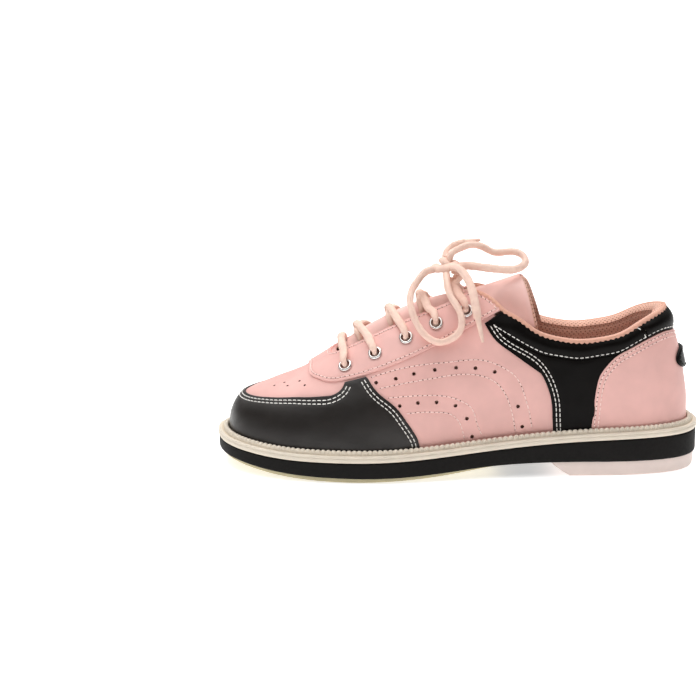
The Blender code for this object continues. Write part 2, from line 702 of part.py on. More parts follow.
def make_eyelets():
    silver = material("eyelet_metal", SILVER, 0.25, 1.0)
    section = [(2.8, 1.15), (3.7, 1.0), (3.9, .3), (2.85, .3), (2.85, -4.5), (2.45, -4.5), (2.45, .8)]
    mesh = bpy.data.meshes.new("eyelet")
    edges = [(i, (i + 1) % len(section)) for i in range(len(section))]
    mesh.from_pydata([(r * MM, 0, z * MM) for r, z in section], edges, [])
    mesh.materials.append(silver)
    for side in ("lateral", "medial"):
        for index in range(5):
            eyelet = bpy.data.objects.new(f"eyelet_{side}_{index + 1}", mesh)
            eyelet.matrix_world = eyelet_matrix(side, index)
            turn = eyelet.modifiers.new("turn", "SCREW")
            turn.steps = 8
            turn.render_steps = 8
            turn.use_merge_vertices = True
            turn.merge_threshold = 0.00001
            turn.use_smooth_shade = False
            shoe.objects.link(eyelet)


def tube(name, points, radii, surface, resolution=2):
    curve = bpy.data.curves.new(name, "CURVE")
    curve.dimensions = "3D"
    curve.bevel_depth = MM
    curve.bevel_resolution = resolution
    curve.use_fill_caps = True
    line = curve.splines.new("POLY")
    line.points.add(len(points) - 1)
    for point, place, radius in zip(line.points, placed(points), radii):
        point.co = (*place, 1)
        point.radius = radius
    obj = bpy.data.objects.new(name, curve)
    curve.materials.append(surface)
    shoe.objects.link(obj)
    return obj


def through(points, spacing):
    """Evenly spaced points on a smooth curve through the given ones."""
    points = np.asarray(points, float)
    run = np.concatenate([[0], np.cumsum(np.linalg.norm(np.diff(points, axis=0), axis=1))])
    fine = spline(run, points)(np.linspace(0, run[-1], 40 * len(points)))
    length = np.concatenate([[0], np.cumsum(np.linalg.norm(np.diff(fine, axis=0), axis=1))])
    even = np.linspace(0, length[-1], max(2, int(round(length[-1] / spacing)) + 1))
    return np.column_stack([np.interp(even, length, fine[:, k]) for k in range(3)])


TONGUE_BASE, TONGUE_TOP = -.306, -.585
tongue_crest = spline([-.60, -.585, -.56, -.53, -.50, -.44, -.38, -.345, -.325, -.31, -.30],
                      [-6.3, -6.2, -5.8, -5.0, -3.2, 0.2, 0.4, -0.4, -3.0, -5.6, -7.0])
tongue_side = spline([-.60, -.56, -.535, -.51, -.44, -.30], [-5.8, -5.8, -6.6, -8.0, -8.4, -8.4])


def tongue_grid():
    """Stations and heights over the whole tongue, from its stitched base to its free top."""
    along = np.linspace(0, 1, 10)[:, None]
    across = np.linspace(-1, 1, 11)[None, :]
    q = TONGUE_BASE + (TONGUE_TOP - TONGUE_BASE) * along
    side_height = np.interp(-q, [.30, .36, .50, .54, .60], [.70, .62, .60, .64, .60])
    h = 1 - (1 - side_height) * np.abs(across)
    q = np.broadcast_to(q, h.shape)
    return np.stack([np.where(across < 0, q, -q), h], -1)


def tongue_depth(grid):
    """The tongue lies under the facings and swells up between them."""
    q = -np.abs(grid[..., 0])
    dome = smooth((grid[..., 1] - .78) / .22)
    return tongue_side(q) + (tongue_crest(q) - tongue_side(q)) * dome


def tongue_floor(grid):
    """Its underside stays level, so the padding is thick in the middle."""
    q = -np.abs(grid[..., 0])
    return np.minimum(tongue_side(q), tongue_crest(q))


def tongue_point(grid, depth):
    """Like skin, but its direction turns evenly towards the ridge, so that deep layers don't cross."""
    q, h = grid[..., 0], grid[..., 1]
    turn = np.clip((h - .70) / .30, 0, 1)[..., None]
    direction = outward(q, np.minimum(h, .70)) * (1 - turn) + outward(q, np.ones_like(h)) * turn
    direction /= np.linalg.norm(direction, axis=-1, keepdims=True)
    return form(q, h) + direction * depth[..., None]


def between(name, grid, outer, inner, surface):
    """A closed body between two depths of the tongue over one grid."""
    rows, columns = grid.shape[:2]
    points = [tongue_point(grid, depth).reshape(-1, 3) for depth in (outer, inner)]
    size = rows * columns
    faces = []
    for i in range(rows - 1):
        for j in range(columns - 1):
            a = i * columns + j
            quad = (a, a + columns, a + columns + 1, a + 1)
            for triangle in (quad[:3], (quad[0], quad[2], quad[3])):
                faces.append(triangle)
                faces.append(tuple(size + k for k in triangle[::-1]))
    rim = [i * columns for i in range(rows)] + [(rows - 1) * columns + j for j in range(1, columns)]
    rim += [i * columns + columns - 1 for i in range(rows - 2, -1, -1)] + list(range(columns - 2, 0, -1))
    for a, b in zip(rim, rim[1:] + rim[:1]):
        faces.append((a, b, size + b, size + a))
    return mesh_object(name, np.vstack(points), faces, surface, closed=True)


def make_tongue():
    pivot = bpy.data.objects.new("tongue_pivot", None)
    pivot.location = placed(tongue_hinge_point())
    shoe.objects.link(pivot)
    bpy.context.view_layer.update()
    grid = tongue_grid()
    core = grid[1:-1, 1:-1]
    foam_colour = material("tongue_foam_foam", (.85, .80, .55), 1.0)
    mesh_fabric = material("tongue_lining_mesh", PEACH, .95)
    face_bottom = 1.3
    foam_top = face_bottom + .9
    foam_bottom = foam_top + TONGUE_PADDING
    face = tongue_depth(grid)
    lining = tongue_floor(grid) - foam_bottom - .9
    for name, cells, top, bottom, surface in (
            ("tongue_face", grid, face, face - face_bottom, leather("tongue_face", PINK)),
            ("tongue_foam", core, tongue_depth(core) - foam_top, tongue_floor(core) - foam_bottom,
             foam_colour),
            ("tongue_lining", grid, lining, lining - 1.0, mesh_fabric)):
        layer = between(name, cells, top, bottom, surface)
        layer.parent = pivot
        layer.matrix_parent_inverse = pivot.matrix_world.inverted()


def tongue_hinge_point():
    """The middle of the seam that holds the tongue's base."""
    return skin(-.304, 1.0, -9.0)


def make_binding():
    """The rolled edge round the foot's opening, from one throat corner round the heel to the other."""
    line = legs((cut(STAY_TOP, -.521, -.557), 5), (TOPLINE, 26))
    line = np.vstack([line, mirrored(line)[::-1][1:]])
    centre = skin(line[:, 0], line[:, 1], -2.1)
    normal = outward(line[:, 0], line[:, 1])
    along = np.gradient(centre, axis=0)
    along /= np.linalg.norm(along, axis=1, keepdims=True)
    up = np.cross(normal, along)
    if up[len(up) // 2, 2] < 0:
        up = -up
    path = centre + up * (BINDING_RADIUS + GAP + .15)
    tube("topline_binding", through(path, 7.5), np.full(200, BINDING_RADIUS),
         material("topline_binding_leather", PEACH, 0.6), 2)


def strand(side, index, lift):
    """One crossing of the lace: through an eyelet, under its facing, and over to the next pair."""
    sign = side_sign(side)
    q0, h0 = EYELETS[index]
    q1, h1 = EYELETS[index + 1]
    step = q1 - q0
    start, start_normal = eyelet_place(side, index)
    other = "medial" if side == "lateral" else "lateral"
    stop, stop_normal = eyelet_place(other, index + 1)
    edge = float(line_at(THROAT, q0 + .45 * step))
    far_edge = float(line_at(THROAT, q1 - .3 * step))
    squeezed = LACE_SQUEEZED
    full = LACE_RADIUS
    keys = [(start - 3.2 * start_normal, squeezed)]

    def on(q, h, depth, radius):
        keys.append((skin(q * sign, h, depth), radius))

    on(q0 + .03 * step, h0 + .02, -5.8, squeezed)
    on(q0 + .25 * step, h0 + .55 * (edge - h0), -5.8, squeezed)
    on(q0 + .40 * step, edge - .03, -5.8, squeezed)
    on(q0 + .43 * step, edge + .025, -5.0, squeezed)
    on(q0 + .46 * step, edge + .07, -2.0, squeezed)
    on(q0 + .49 * step, edge + .11, 1.8, squeezed)
    middle = skin((q0 + .55 * step) * sign, 1.0, 2.5 + lift)
    keys.append((middle, 1.5))
    sign = -sign
    on(q1 - .42 * step, far_edge + .08, 3.4, 1.7)
    on(q1 - .28 * step, far_edge - .03, 3.2, full)
    on(q1 - .12 * step, h1 + .085, 3.7, 1.9)
    inward = skin(q1 * sign, h1 + .03) - stop
    keys.append((stop + stop_normal * 3.3 + inward * .5, squeezed))
    keys.append((stop + stop_normal * 1.0, squeezed))
    return keys


# The bow's knot, and its free parts as points that each curve passes through.
KNOT = np.array([128.0, -1.0, 112.2])
KNOT_RADII = np.array([6.5, 6.0, 4.2])


def knot_exit(direction, further=0.0):
    """Where a lace leaves the knot in this direction, or a little further out."""
    direction = np.asarray(direction, float)
    direction = direction / np.linalg.norm(direction)
    reach = 1 / np.linalg.norm(direction / KNOT_RADII)
    return KNOT + direction * (reach + GAP + .6 + further)


REAR_START, REAR_STOP = (2, 1, 5), (5, -.5, .5)
SIDE_START, SIDE_STOP = (0, -5, -2.5), (-5, -2, -.5)
LATERAL_START, MEDIAL_START = (3, -5, 1), (0, 4, 3)
REAR_LOOP = [knot_exit(REAR_START), knot_exit(REAR_START, 3), (134, 2, 121.5), (141, 3, 124),
             (148, 4, 123), (155, 5, 119.5), (162, 4, 120), (169, 2, 119.5), (172, -3, 116),
             (168, -7, 113), (159, -8, 112.5), (148, -7, 113.5), knot_exit(REAR_STOP, 4),
             knot_exit(REAR_STOP)]
SIDE_LOOP = [knot_exit(SIDE_START), knot_exit(SIDE_START, 4), (130, -20, 100), (135, -26, 92),
             (135, -29, 83), (130, -29, 78), (124, -28.5, 76), (118, -28, 78), (113, -26, 83),
             (109, -23, 91), (108, -15, 100), (112, -8, 106), knot_exit(SIDE_STOP, 3.5),
             knot_exit(SIDE_STOP)]
LATERAL_END = [knot_exit(LATERAL_START), knot_exit(LATERAL_START, 4), (139, -17, 109.5),
               (143, -25.5, 98), (144.5, -28.5, 90)]
MEDIAL_END = [knot_exit(MEDIAL_START), knot_exit(MEDIAL_START, 3), (133, 11, 122), (139, 13, 123.5)]
AGLET_RADIUS = 1.7


def make_lace():
    """The laced part, whole: from the knot down one side, across the bar and back up to the knot."""
    paths = {}
    for first in ("lateral", "medial"):
        keys = []
        side = first
        for index in range(4):
            keys += strand(side, index, 0.0 if side == "lateral" else 3.5)
            side = "medial" if side == "lateral" else "lateral"
        end, end_normal = eyelet_place(side, 4)
        sign = side_sign(side)
        keys.append((end - 3.2 * end_normal, LACE_SQUEEZED))
        q, h = EYELETS[4]
        edge = float(line_at(THROAT, q))
        keys.append((skin((q + .001) * sign, h + .02, -5.8), LACE_SQUEEZED))
        keys.append((skin((q + .003) * sign, edge - .04, -5.8), LACE_SQUEEZED))
        keys.append((skin((q + .005) * sign, edge + .03, -4.3), LACE_SQUEEZED))
        keys.append((skin((q + .008) * sign, edge + .06, -1.0), LACE_SQUEEZED))
        keys.append((skin((q + .013) * sign, edge + .10, 2.4), LACE_SQUEEZED))
        pull = (5.0, -4.0 * sign, -2.0)
        keys.append((knot_exit(pull, 4.0), LACE_SQUEEZED))
        keys.append((knot_exit(pull), LACE_SQUEEZED))
        paths[first] = keys

    bar = []
    for side in ("medial", "lateral"):
        sign = side_sign(side)
        place, normal = eyelet_place(side, 0)
        q, h = EYELETS[0]
        inward = skin(q * sign, h + .03) - place
        bar.append([(place + normal * 1.0, LACE_SQUEEZED),
                    (place + normal * 3.3 + inward * .5, LACE_SQUEEZED),
                    (skin(q * sign, h + .085, 3.7), 1.9),
                    (skin((q + .004) * sign, h + .19, 3.3), LACE_RADIUS),
                    (skin((q + .008) * sign, h + .29, 2.9), LACE_RADIUS)])
    middle = [(skin(EYELETS[0][0] + .010, 1.0, 3.4), LACE_RADIUS)]
    keys = paths["medial"][::-1] + bar[0] + middle + bar[1][::-1] + paths["lateral"]
    points = np.array([point for point, radius in keys])
    radii = np.array([radius for point, radius in keys])
    run = np.concatenate([[0], np.cumsum(np.linalg.norm(np.diff(points, axis=0), axis=1))])
    curve = spline(run, np.column_stack([points, radii]))
    middles = (run[1:] + run[:-1]) / 2
    samples = np.sort(np.concatenate([run, middles[np.diff(run) > 6.0]]))
    line = curve(samples)
    fabric = material("lace_cotton", LACE_COLOUR, 0.9)
    tube("lace", line[:, :3], np.clip(line[:, 3], LACE_SQUEEZED, LACE_RADIUS), fabric, 1)


def make_bow():
    fabric = material("lace_knot_cotton", LACE_COLOUR, 0.9)
    knot_mesh = bpy.data.meshes.new("lace_knot")
    build = bmesh.new()
    bmesh.ops.create_uvsphere(build, u_segments=12, v_segments=8, radius=MM)
    bmesh.ops.scale(build, vec=KNOT_RADII, verts=build.verts)
    build.to_mesh(knot_mesh)
    build.free()
    knot = bpy.data.objects.new("lace_knot", knot_mesh)
    knot.location = placed(KNOT)
    shoe.objects.link(knot)
    finish(knot, fabric)

    for name, route in (("lace_loop_rear", REAR_LOOP), ("lace_loop_side", SIDE_LOOP),
                        ("lace_end_lateral", LATERAL_END), ("lace_end_medial", MEDIAL_END)):
        points = through(route, 5.5)
        cotton = material(name + "_cotton", LACE_COLOUR, 0.9)
        tube(name, points, np.full(len(points), LACE_RADIUS), cotton, 2)
    make_aglet("aglet_lateral", LATERAL_END, (0.21, -.16, -.96), 14.0)
    make_aglet("aglet_medial", MEDIAL_END, (.93, .3, .1), 9.0)


def make_aglet(name, route, direction, length):
    """The stiff tip of a lace end, tapered to a blunt point."""
    direction = np.array(direction) / np.linalg.norm(direction)
    start = np.array(route[-1], float) + direction * (GAP + .3)
    points = [start, start + direction * length * .8, start + direction * length]
    tube(name, points, [AGLET_RADIUS, AGLET_RADIUS * .8, AGLET_RADIUS * .55],
         material(name + "_film", LACE_COLOUR, 0.4), 2)


make_sole()
make_welt()
make_toe()
make_sides()
make_heel()
make_lining()
make_eyelets()
make_tongue()
make_binding()
make_lace()
make_bow()
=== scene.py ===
import math

import bmesh
import bpy
import numpy as np
from mathutils import Matrix, Vector
from mathutils.kdtree import KDTree


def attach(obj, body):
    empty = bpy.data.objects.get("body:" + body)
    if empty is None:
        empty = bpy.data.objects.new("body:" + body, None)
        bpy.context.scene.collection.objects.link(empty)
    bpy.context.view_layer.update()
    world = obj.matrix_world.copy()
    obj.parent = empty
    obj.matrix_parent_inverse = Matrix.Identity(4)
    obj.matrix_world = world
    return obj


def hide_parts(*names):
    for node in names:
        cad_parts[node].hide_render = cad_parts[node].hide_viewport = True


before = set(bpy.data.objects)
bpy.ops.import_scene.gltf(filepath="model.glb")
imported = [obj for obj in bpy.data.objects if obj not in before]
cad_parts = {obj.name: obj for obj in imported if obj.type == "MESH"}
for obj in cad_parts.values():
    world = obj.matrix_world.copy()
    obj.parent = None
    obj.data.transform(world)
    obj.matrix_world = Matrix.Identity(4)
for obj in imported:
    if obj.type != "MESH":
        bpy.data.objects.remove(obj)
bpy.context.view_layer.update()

# The upper is one curved form. A point of it has a station q, which is 0 at the toe and -1 (lateral) or
# +1 (medial) at the back of the heel, and a height h, which is 0 at the welt and 1 on the ridge over the
# instep. Sizes are in millimetres from the toe; placed() turns them into metres in the frame.
MM = 0.001
LENGTH = 270.0
GAP = 0.4
FEATHER_INSET = 6.2
SHAPE_SCALE = np.array([330.0, 75.0])   # millimetres per unit of station and of height
SIDES = (("lateral", 1), ("medial", -1))

# Leather and lining, as depths above (+) or below (-) the outer skin.
OVERLAY = 0.0
UNDERLAY = -1.2
LEATHER = 1.1
LINING = 0.8
LINING_DEPTH = -3.4
TOE_LINING_DEPTH = -5.2
COLLAR_LINING_DEPTH = -7.0
FOOT_HEIGHT = -.03            # the panels run down behind the welt's rib to this height
EDGE_ROUND = 0.45
CELL = 1.15                   # the spacing of a panel's grid
EDGE_CELLS = np.array([0.10, 0.26, 0.50, 0.85])   # the first lines of that grid, inside a panel's edge

# Stitches: how far rows lie from an edge, how deep, how far apart the stitches are, and the thread's form.
ROW_PLACES = (2.1, 4.1)
COVER_ROW_PLACES = (1.6, 3.8)
STAY_ROW_PLACE = 1.9
COLLAR_ROW_PLACE = 1.3
SEAM_DEPTH = -.10
COLLAR_SEAM_DEPTH = .12
WHITE_PITCH, PINK_PITCH, COVER_PITCH, JOIN_PITCH = 2.9, 2.7, 2.6, 2.4
WHITE_THREAD_RADIUS, PINK_THREAD_RADIUS = 0.28, 0.30
THREAD_LIFT = np.array([-.50, -.12, .10, .16, .16, .10, -.12, -.50])
THREAD_PLACE = np.array([.15, .18, .26, .42, .58, .74, .82, .85])
THREAD_SIZE = np.array([.55, .85, 1.0, 1.05, 1.05, 1.0, .85, .55])
THREAD_SIDES = 7
SIDE_HOLE_RADIUS, VAMP_HOLE_RADIUS, EYELET_HOLE_RADIUS, LINING_HOLE_RADIUS = 1.05, 0.68, 2.75, 3.3

# Laces.
LACE_RADIUS = 2.1
LACE_SQUEEZED = 1.1
AGLET_RADIUS = 1.7
UNDER_FACING = -5.8           # the lace's depth where it passes under a facing
CROSSING_DEPTH = 2.4          # and where it crosses the throat
CROSSING_LIFT = 2.0           # the upper of two crossing strands lies this much higher
KNOT = np.array([128.0, -1.0, 112.2])
KNOT_RADII = np.array([6.5, 6.0, 4.2])

# The binding's section, as (outward, upward) from the topline. Its first faces are the hem, the rest
# the padded lining that rolls inward.
BINDING_SECTION = np.array([(-.2, -1.3), (.25, -1.2), (.50, -.8), (.55, -.2), (.45, .5), (.1, 1.0),
                            (-.6, 1.3), (-1.3, 1.25), (-1.7, .9), (-2.0, 1.05), (-3.0, 1.3), (-4.4, 1.1),
                            (-5.8, .5), (-7.0, -.6), (-7.8, -2.2), (-8.05, -4.0), (-7.9, -5.6), (-7.5, -5.6),
                            (-7.2, -2.2), (-5.6, -.6), (-3.0, .0), (-.8, -.3), (-.3, -.9)])
BINDING_HEM = 8
BINDING_NOTCH_PITCH = 2.9

# Tongue, badge and eyelets.
TONGUE_BASE, TONGUE_TOP = -.306, -.585
TONGUE_LEATHER = 1.3
TONGUE_PADDING = 5.3
TONGUE_WING_SINK = 4.6
BADGE_HALF_WIDTH, BADGE_HALF_HEIGHT, BADGE_HEIGHT = 14.0, 6.0, .275
EYELET_SECTION = np.array([(2.45, -4.3), (2.45, .55), (2.55, .95), (2.80, 1.18), (3.15, 1.25), (3.50, 1.15),
                           (3.80, .85), (3.98, .45), (4.0, .12), (3.6, .02), (2.85, .05), (2.85, -4.3)])

# Sole. The welt's section has the inset from its edge, the rise over the midsole, and the crimp's share.
INSOLE_INSET = 12.9
SOCK_TOP, SOCK_BOTTOM = 8.0, 4.9
PAD_END = 157.0
HEEL_TOP_START, HEEL_BASE_START = 186.0, 197.0
CRIMP_PITCH = 2.95
CRIMP_STEPS = 8
WELT_SECTION = [(0.35, 0.35, 0), (0.05, .8, 0), (0.0, 1.6, 0), (0.0, 2.6, 0), (.26, 2.8, 0), (.02, 3.0, 0),
                (.10, 3.8, 0), (.45, 4.15, 0), (1.3, 4.2, 0), (2.1, 4.0, 0), (2.5, 3.4, 0), (2.7, 3.9, .3),
                (2.9, 4.9, .6), (3.1, 5.6, .9), (3.6, 6.1, 1.0), (4.4, 6.3, 1.0), (5.2, 6.2, .9),
                (5.6, 4.5, 0), (5.6, .4, 0)]

# Camera, floor and light.
ELEVATION = math.radians(14)
CAMERA_DISTANCE = 1.5
CAMERA_LENS = 137.0
CAMERA_RIGHT, CAMERA_UP = -0.0605, 0.0189
TARGET_FROM_TOE = np.array([135.0, 0.0, 45.0])
FLOOR_SIZE = 6.0
FLOOR_GLOW = 0.52
SKY_AXIS = (0.0, 0.35, 0.94)
SKY_LOW, SKY_HIGH = 0.06, 1.05
SKY_START, SKY_END = 0.30, 0.80
SKY_COLOUR = (1.0, 0.985, 0.965, 1)
LIGHT_TARGET = Vector((0, 0, .04))
STUDIO_LIGHTS = [("key", (-0.45, -0.85, 1.35), (0.9, 0.9), 5.0),
                 ("top", (-0.05, 0.12, 1.0), (1.3, 0.55), 7.0)]

# Colours, in linear light.
PINK = (0.80, 0.46, 0.42)
# The tongue's pink is painted light: the same pink leather as PINK, made lighter because the tongue faces up
# into the light.
TONGUE_PINK_PAINTED_LIGHT = (0.93, 0.60, 0.55)
BLACK = (0.0030, 0.0022, 0.0019)
TOE_BLACK = (0.0125, 0.0095, 0.0082)
CREAM = (0.74, 0.66, 0.55)
PEACH = (0.80, 0.47, 0.36)
MESH_PIT = (0.42, 0.17, 0.11)
LACE_COLOUR = (1.0, 0.69, 0.58)


# ---------------------------------------------------------------- the form, as in the part's source

LATERAL_EDGE = [(4, -13), (16, -28), (38, -40), (66, -46), (92, -47), (118, -43.5),
                (145, -38), (172, -34.5), (200, -33), (226, -32), (248, -27.5), (263, -18.5)]
MEDIAL_EDGE = [(3.5, 21), (13, 32), (32, 41), (56, 44.5), (80, 43.5), (105, 37.5),
               (132, 30), (160, 26.5), (190, 28.5), (220, 31), (246, 28), (263, 18.5)]
TOE_TIP_Y = 6.0


def spline(xs, ys):
    """A natural cubic spline through (xs, ys); ys may have several columns."""
    xs = np.asarray(xs, float)
    ys = np.asarray(ys, float)
    count = len(xs)
    step = np.diff(xs)
    system = np.eye(count)
    right = np.zeros_like(ys)
    for i in range(1, count - 1):
        system[i, i - 1:i + 2] = step[i - 1], 2 * (step[i - 1] + step[i]), step[i]
        right[i] = 6 * ((ys[i + 1] - ys[i]) / step[i] - (ys[i] - ys[i - 1]) / step[i - 1])
    bend = np.linalg.solve(system, right)

    def at(x):
        x = np.asarray(x, float)
        i = np.clip(np.searchsorted(xs, x) - 1, 0, count - 2)
        before = xs[i + 1] - x
        after = x - xs[i]
        width = step[i]
        if ys.ndim > 1:
            before = before[..., None]
            after = after[..., None]
            width = width[..., None]
        cubic = (bend[i] * before ** 3 + bend[i + 1] * after ** 3) / (6 * width)
        line = (ys[i] / width - bend[i] * width / 6) * before
        return cubic + line + (ys[i + 1] / width - bend[i + 1] * width / 6) * after
    return at


def profile(*points):
    table = np.array(points, float)
    return spline(table[:, 0], table[:, 1])


def smooth(t):
    t = np.clip(t, 0, 1)
    return t * t * (3 - 2 * t)


sole_top = profile((0, 15.0), (12, 13.8), (35, 12.0), (62, 11.4), (90, 11.6), (130, 13.8),
                   (160, 16.5), (195, 19.4), (226, 20.9), (270, 21.6))
sole_bottom = profile((0, 9.2), (12, 7.6), (35, 4.8), (62, 3.3), (90, 3.1), (115, 4.1),
                      (130, 5.3), (150, 7.2), (170, 8.3), (195, 8.8), (230, 8.8), (270, 8.8))
pad_bottom = profile((0, 7.4), (12, 5.2), (35, 2.0), (55, 0.5), (75, 0.0), (92, 0.3),
                     (115, 1.5), (130, 3.0), (157, 6.9), (270, 8.0))
ridge_z = profile((0, 36), (15, 43), (36, 49.5), (48, 54.5), (56, 59), (64, 65), (82, 77), (105, 89.5),
                  (128, 99.5), (141, 104.5), (165, 114), (190, 122), (215, 128), (240, 132), (270, 134))
ridge_y = profile((0, 6), (40, 4), (80, 1), (120, -1.5), (160, -2), (200, -1), (270, 0))
side_rise = profile((0, .72), (30, .66), (70, .58), (120, .58), (160, .66), (200, .74), (235, .66),
                    (270, .42))
side_reach = profile((0, .62), (30, .60), (70, .52), (120, .50), (160, .60), (200, .68), (235, .62),
                     (270, .50))
side_bulge = profile((0, 1.5), (30, 2.0), (80, 2.5), (130, 2.5), (180, 2.5), (230, 3.0), (270, 3.5))
TOE_LEAN, TOE_LEAN_LENGTH = 36.0, 85.0
HEEL_LEAN, HEEL_LEAN_LENGTH = 56.0, 120.0


def distance(q):
    return LENGTH / 2 * (1 - np.cos(np.pi * np.asarray(q, float)))


def station(x):
    return np.arccos(1 - 2 * np.asarray(x, float) / LENGTH) / np.pi


def make_edge_line():
    stations = [-1.0] + [-float(station(x)) for x, y in LATERAL_EDGE[::-1]] + [0.0]
    stations += [float(station(x)) for x, y in MEDIAL_EDGE] + [1.0]
    sides = [0.0] + [y for x, y in LATERAL_EDGE[::-1]] + [TOE_TIP_Y] + [y for x, y in MEDIAL_EDGE] + [0.0]
    stations = [q - 2 for q in stations[-4:-1]] + stations + [q + 2 for q in stations[1:4]]
    sides = sides[-4:-1] + sides + sides[1:4]
    return spline(stations, sides)


edge_y = make_edge_line()


def outline(q, inset=0.0):
    """The welt's outer edge seen from above, moved inward by inset."""
    q = np.asarray(q, float)
    step = 1e-3

    def at(value):
        return np.stack([distance(value), edge_y(value)], -1)
    along = at(q + step) - at(q - step)
    along /= np.linalg.norm(along, axis=-1, keepdims=True)
    inward = np.stack([along[..., 1], -along[..., 0]], -1)
    return at(q) + inward * np.asarray(inset, float)[..., None]


_edge = outline(np.linspace(-1, 1, 721))
ORIGIN = np.append((_edge.min(axis=0) + _edge.max(axis=0)) / 2, 0.0)


def ridge_x(x):
    return (x + TOE_LEAN * (1 - smooth(x / TOE_LEAN_LENGTH))
            - HEEL_LEAN * smooth((x - LENGTH + HEEL_LEAN_LENGTH) / HEEL_LEAN_LENGTH))


def form(q, h):
    """A point of the upper's outer skin."""
    q, h = np.broadcast_arrays(np.asarray(q, float), np.asarray(h, float))
    q = np.where(q < -1, q + 2, np.where(q > 1, q - 2, q))
    x = distance(q)
    foot = outline(q, FEATHER_INSET)
    low = np.stack([foot[..., 0], foot[..., 1], sole_top(foot[..., 0]) + GAP], -1)
    top_x = ridge_x(x)
    high = np.stack([top_x, ridge_y(top_x), ridge_z(top_x)], -1)
    across = high - low
    height = across[..., 2].copy()
    across[..., 2] = 0
    inward = across / np.linalg.norm(across, axis=-1, keepdims=True)
    second = low - inward * side_bulge(x)[..., None]
    second[..., 2] = low[..., 2] + side_rise(x) * height
    reach = side_reach(x)
    third = high - across * reach[..., None]
    slope = (ridge_z(top_x + 0.1) - ridge_z(top_x - 0.1)) / 0.2
    third[..., 2] = high[..., 2] - slope * across[..., 0] * reach
    t = h[..., None]
    return low * (1 - t) ** 3 + 3 * second * t * (1 - t) ** 2 + 3 * third * t * t * (1 - t) + high * t ** 3


def side_normal(q, h):
    step = 2e-3
    h = np.clip(h, step, 0.985)
    along = form(q + step, h) - form(q - step, h)
    up = form(q, h + step) - form(q, h - step)
    normal = np.cross(up, along)
    return normal / np.linalg.norm(normal, axis=-1, keepdims=True)


def outward(q, h):
    """The direction straight out of the skin. On the ridge the two sides share one direction."""
    q, h = np.broadcast_arrays(np.asarray(q, float), np.asarray(h, float))
    normal = side_normal(q, h)
    shared = normal + side_normal(-q, h)
    shared /= np.linalg.norm(shared, axis=-1, keepdims=True)
    return np.where((h > 0.999)[..., None], shared, normal)


def skin(q, h, depth=0.0):
    """A point above (+) or below (-) the outer skin."""
    return form(q, h) + outward(q, h) * np.asarray(depth, float)[..., None]


def placed(points):
    """Millimetres from the toe to metres in the frame."""
    return (np.asarray(points, float) - ORIGIN) * MM


# Lines on the upper, as (station, height) on the lateral side. The medial side mirrors them.
STAY_LOWER = [(-.177, 1.0), (-.211, .90), (-.238, .794), (-.261, .694), (-.286, .610), (-.304, .556),
              (-.323, .522), (-.342, .506), (-.367, .493), (-.407, .483), (-.445, .489), (-.470, .502),
              (-.510, .531), (-.557, .560)]
THROAT = [(-.286, 1.0), (-.296, .92), (-.315, .855), (-.345, .820), (-.389, .795), (-.445, .785),
          (-.482, .785), (-.516, .823)]
STAY_TOP = [(-.516, .823), (-.538, .690), (-.557, .560)]
TOPLINE = [(-.557, .548), (-.585, .451), (-.604, .380), (-.623, .343), (-.644, .318), (-.669, .303),
           (-.697, .305), (-.741, .326), (-.788, .375), (-.866, .439), (-1, .485)]
COLLAR_LOWER = [(-.534, .520), (-.557, .431), (-.576, .368), (-.598, .309), (-.613, .280), (-.632, .259),
                (-.663, .238), (-.694, .242), (-.735, .259), (-.769, .293), (-.813, .334), (-.872, .372),
                (-1, .385)]
CAP_TOP = [(0, .545), (-.036, .543), (-.095, .531), (-.145, .514), (-.195, .497), (-.242, .477),
           (-.267, .453), (-.295, .426), (-.314, .414), (-.326, .422), (-.335, .443), (-.341, .490)]
CAP_REAR = [(-.452, 0), (-.448, .075), (-.442, .113), (-.432, .167), (-.423, .217), (-.413, .263),
            (-.398, .322), (-.385, .393), (-.379, .443), (-.375, .476)]
QUARTER_FRONT = [(-.629, 0), (-.626, .063), (-.625, .1), (-.619, .159), (-.604, .234), (-.585, .288),
                 (-.569, .330), (-.548, .410), (-.532, .495)]
HEEL_COVER_FRONT = [(-.679, 0), (-.685, .075), (-.688, .125), (-.694, .171), (-.707, .209),
                    (-.722, .238), (-.747, .258)]
EYELETS = [(-.341, .622), (-.388, .612), (-.431, .627), (-.471, .642), (-.510, .648)]
TAB_SEAM = [(-.806, .334), (-.803, .352), (-.795, .368), (-.786, .374)]
BANDS = [[(-.382, .460), (-.420, .447), (-.457, .418), (-.495, .380), (-.526, .347), (-.545, .309),
          (-.563, .263), (-.579, .209), (-.588, .146), (-.594, .092), (-.598, .042)],
         [(-.395, .372), (-.438, .351), (-.473, .330), (-.507, .305), (-.538, .255), (-.557, .196),
          (-.569, .121), (-.576, .042)],
         [(-.407, .305), (-.448, .272), (-.473, .247), (-.491, .222), (-.507, .188), (-.520, .146),
          (-.526, .092), (-.532, .046)],
         [(-.432, .201), (-.451, .192), (-.476, .171), (-.495, .142), (-.504, .104), (-.510, .042)]]
SIDE_HOLES = [(-.389, .414), (-.417, .397), (-.442, .389), (-.470, .372), (-.498, .347), (-.523, .313),
              (-.548, .268), (-.579, .117), (-.585, .050), (-.423, .247), (-.448, .238), (-.473, .217),
              (-.498, .180), (-.513, .117), (-.520, .046)]
VAMP_HOLES = [(-.130, .723), (-.192, .673), (-.251, .610), (-.161, .752), (-.223, .706)]


def line_at(points, q):
    """The height of a line at a station on it."""
    table = np.array(points[::-1], float)
    return np.interp(q, table[:, 0], table[:, 1])


def cut(points, start, stop):
    """The piece of a line between two stations, with its inner points kept."""
    inner = [p for p in points if stop < p[0] < start]
    return [(start, float(line_at(points, start)))] + inner + [(stop, float(line_at(points, stop)))]


def shift(points, dq=0.0, dh=0.0):
    return [(q + dq, h + dh) for q, h in points]


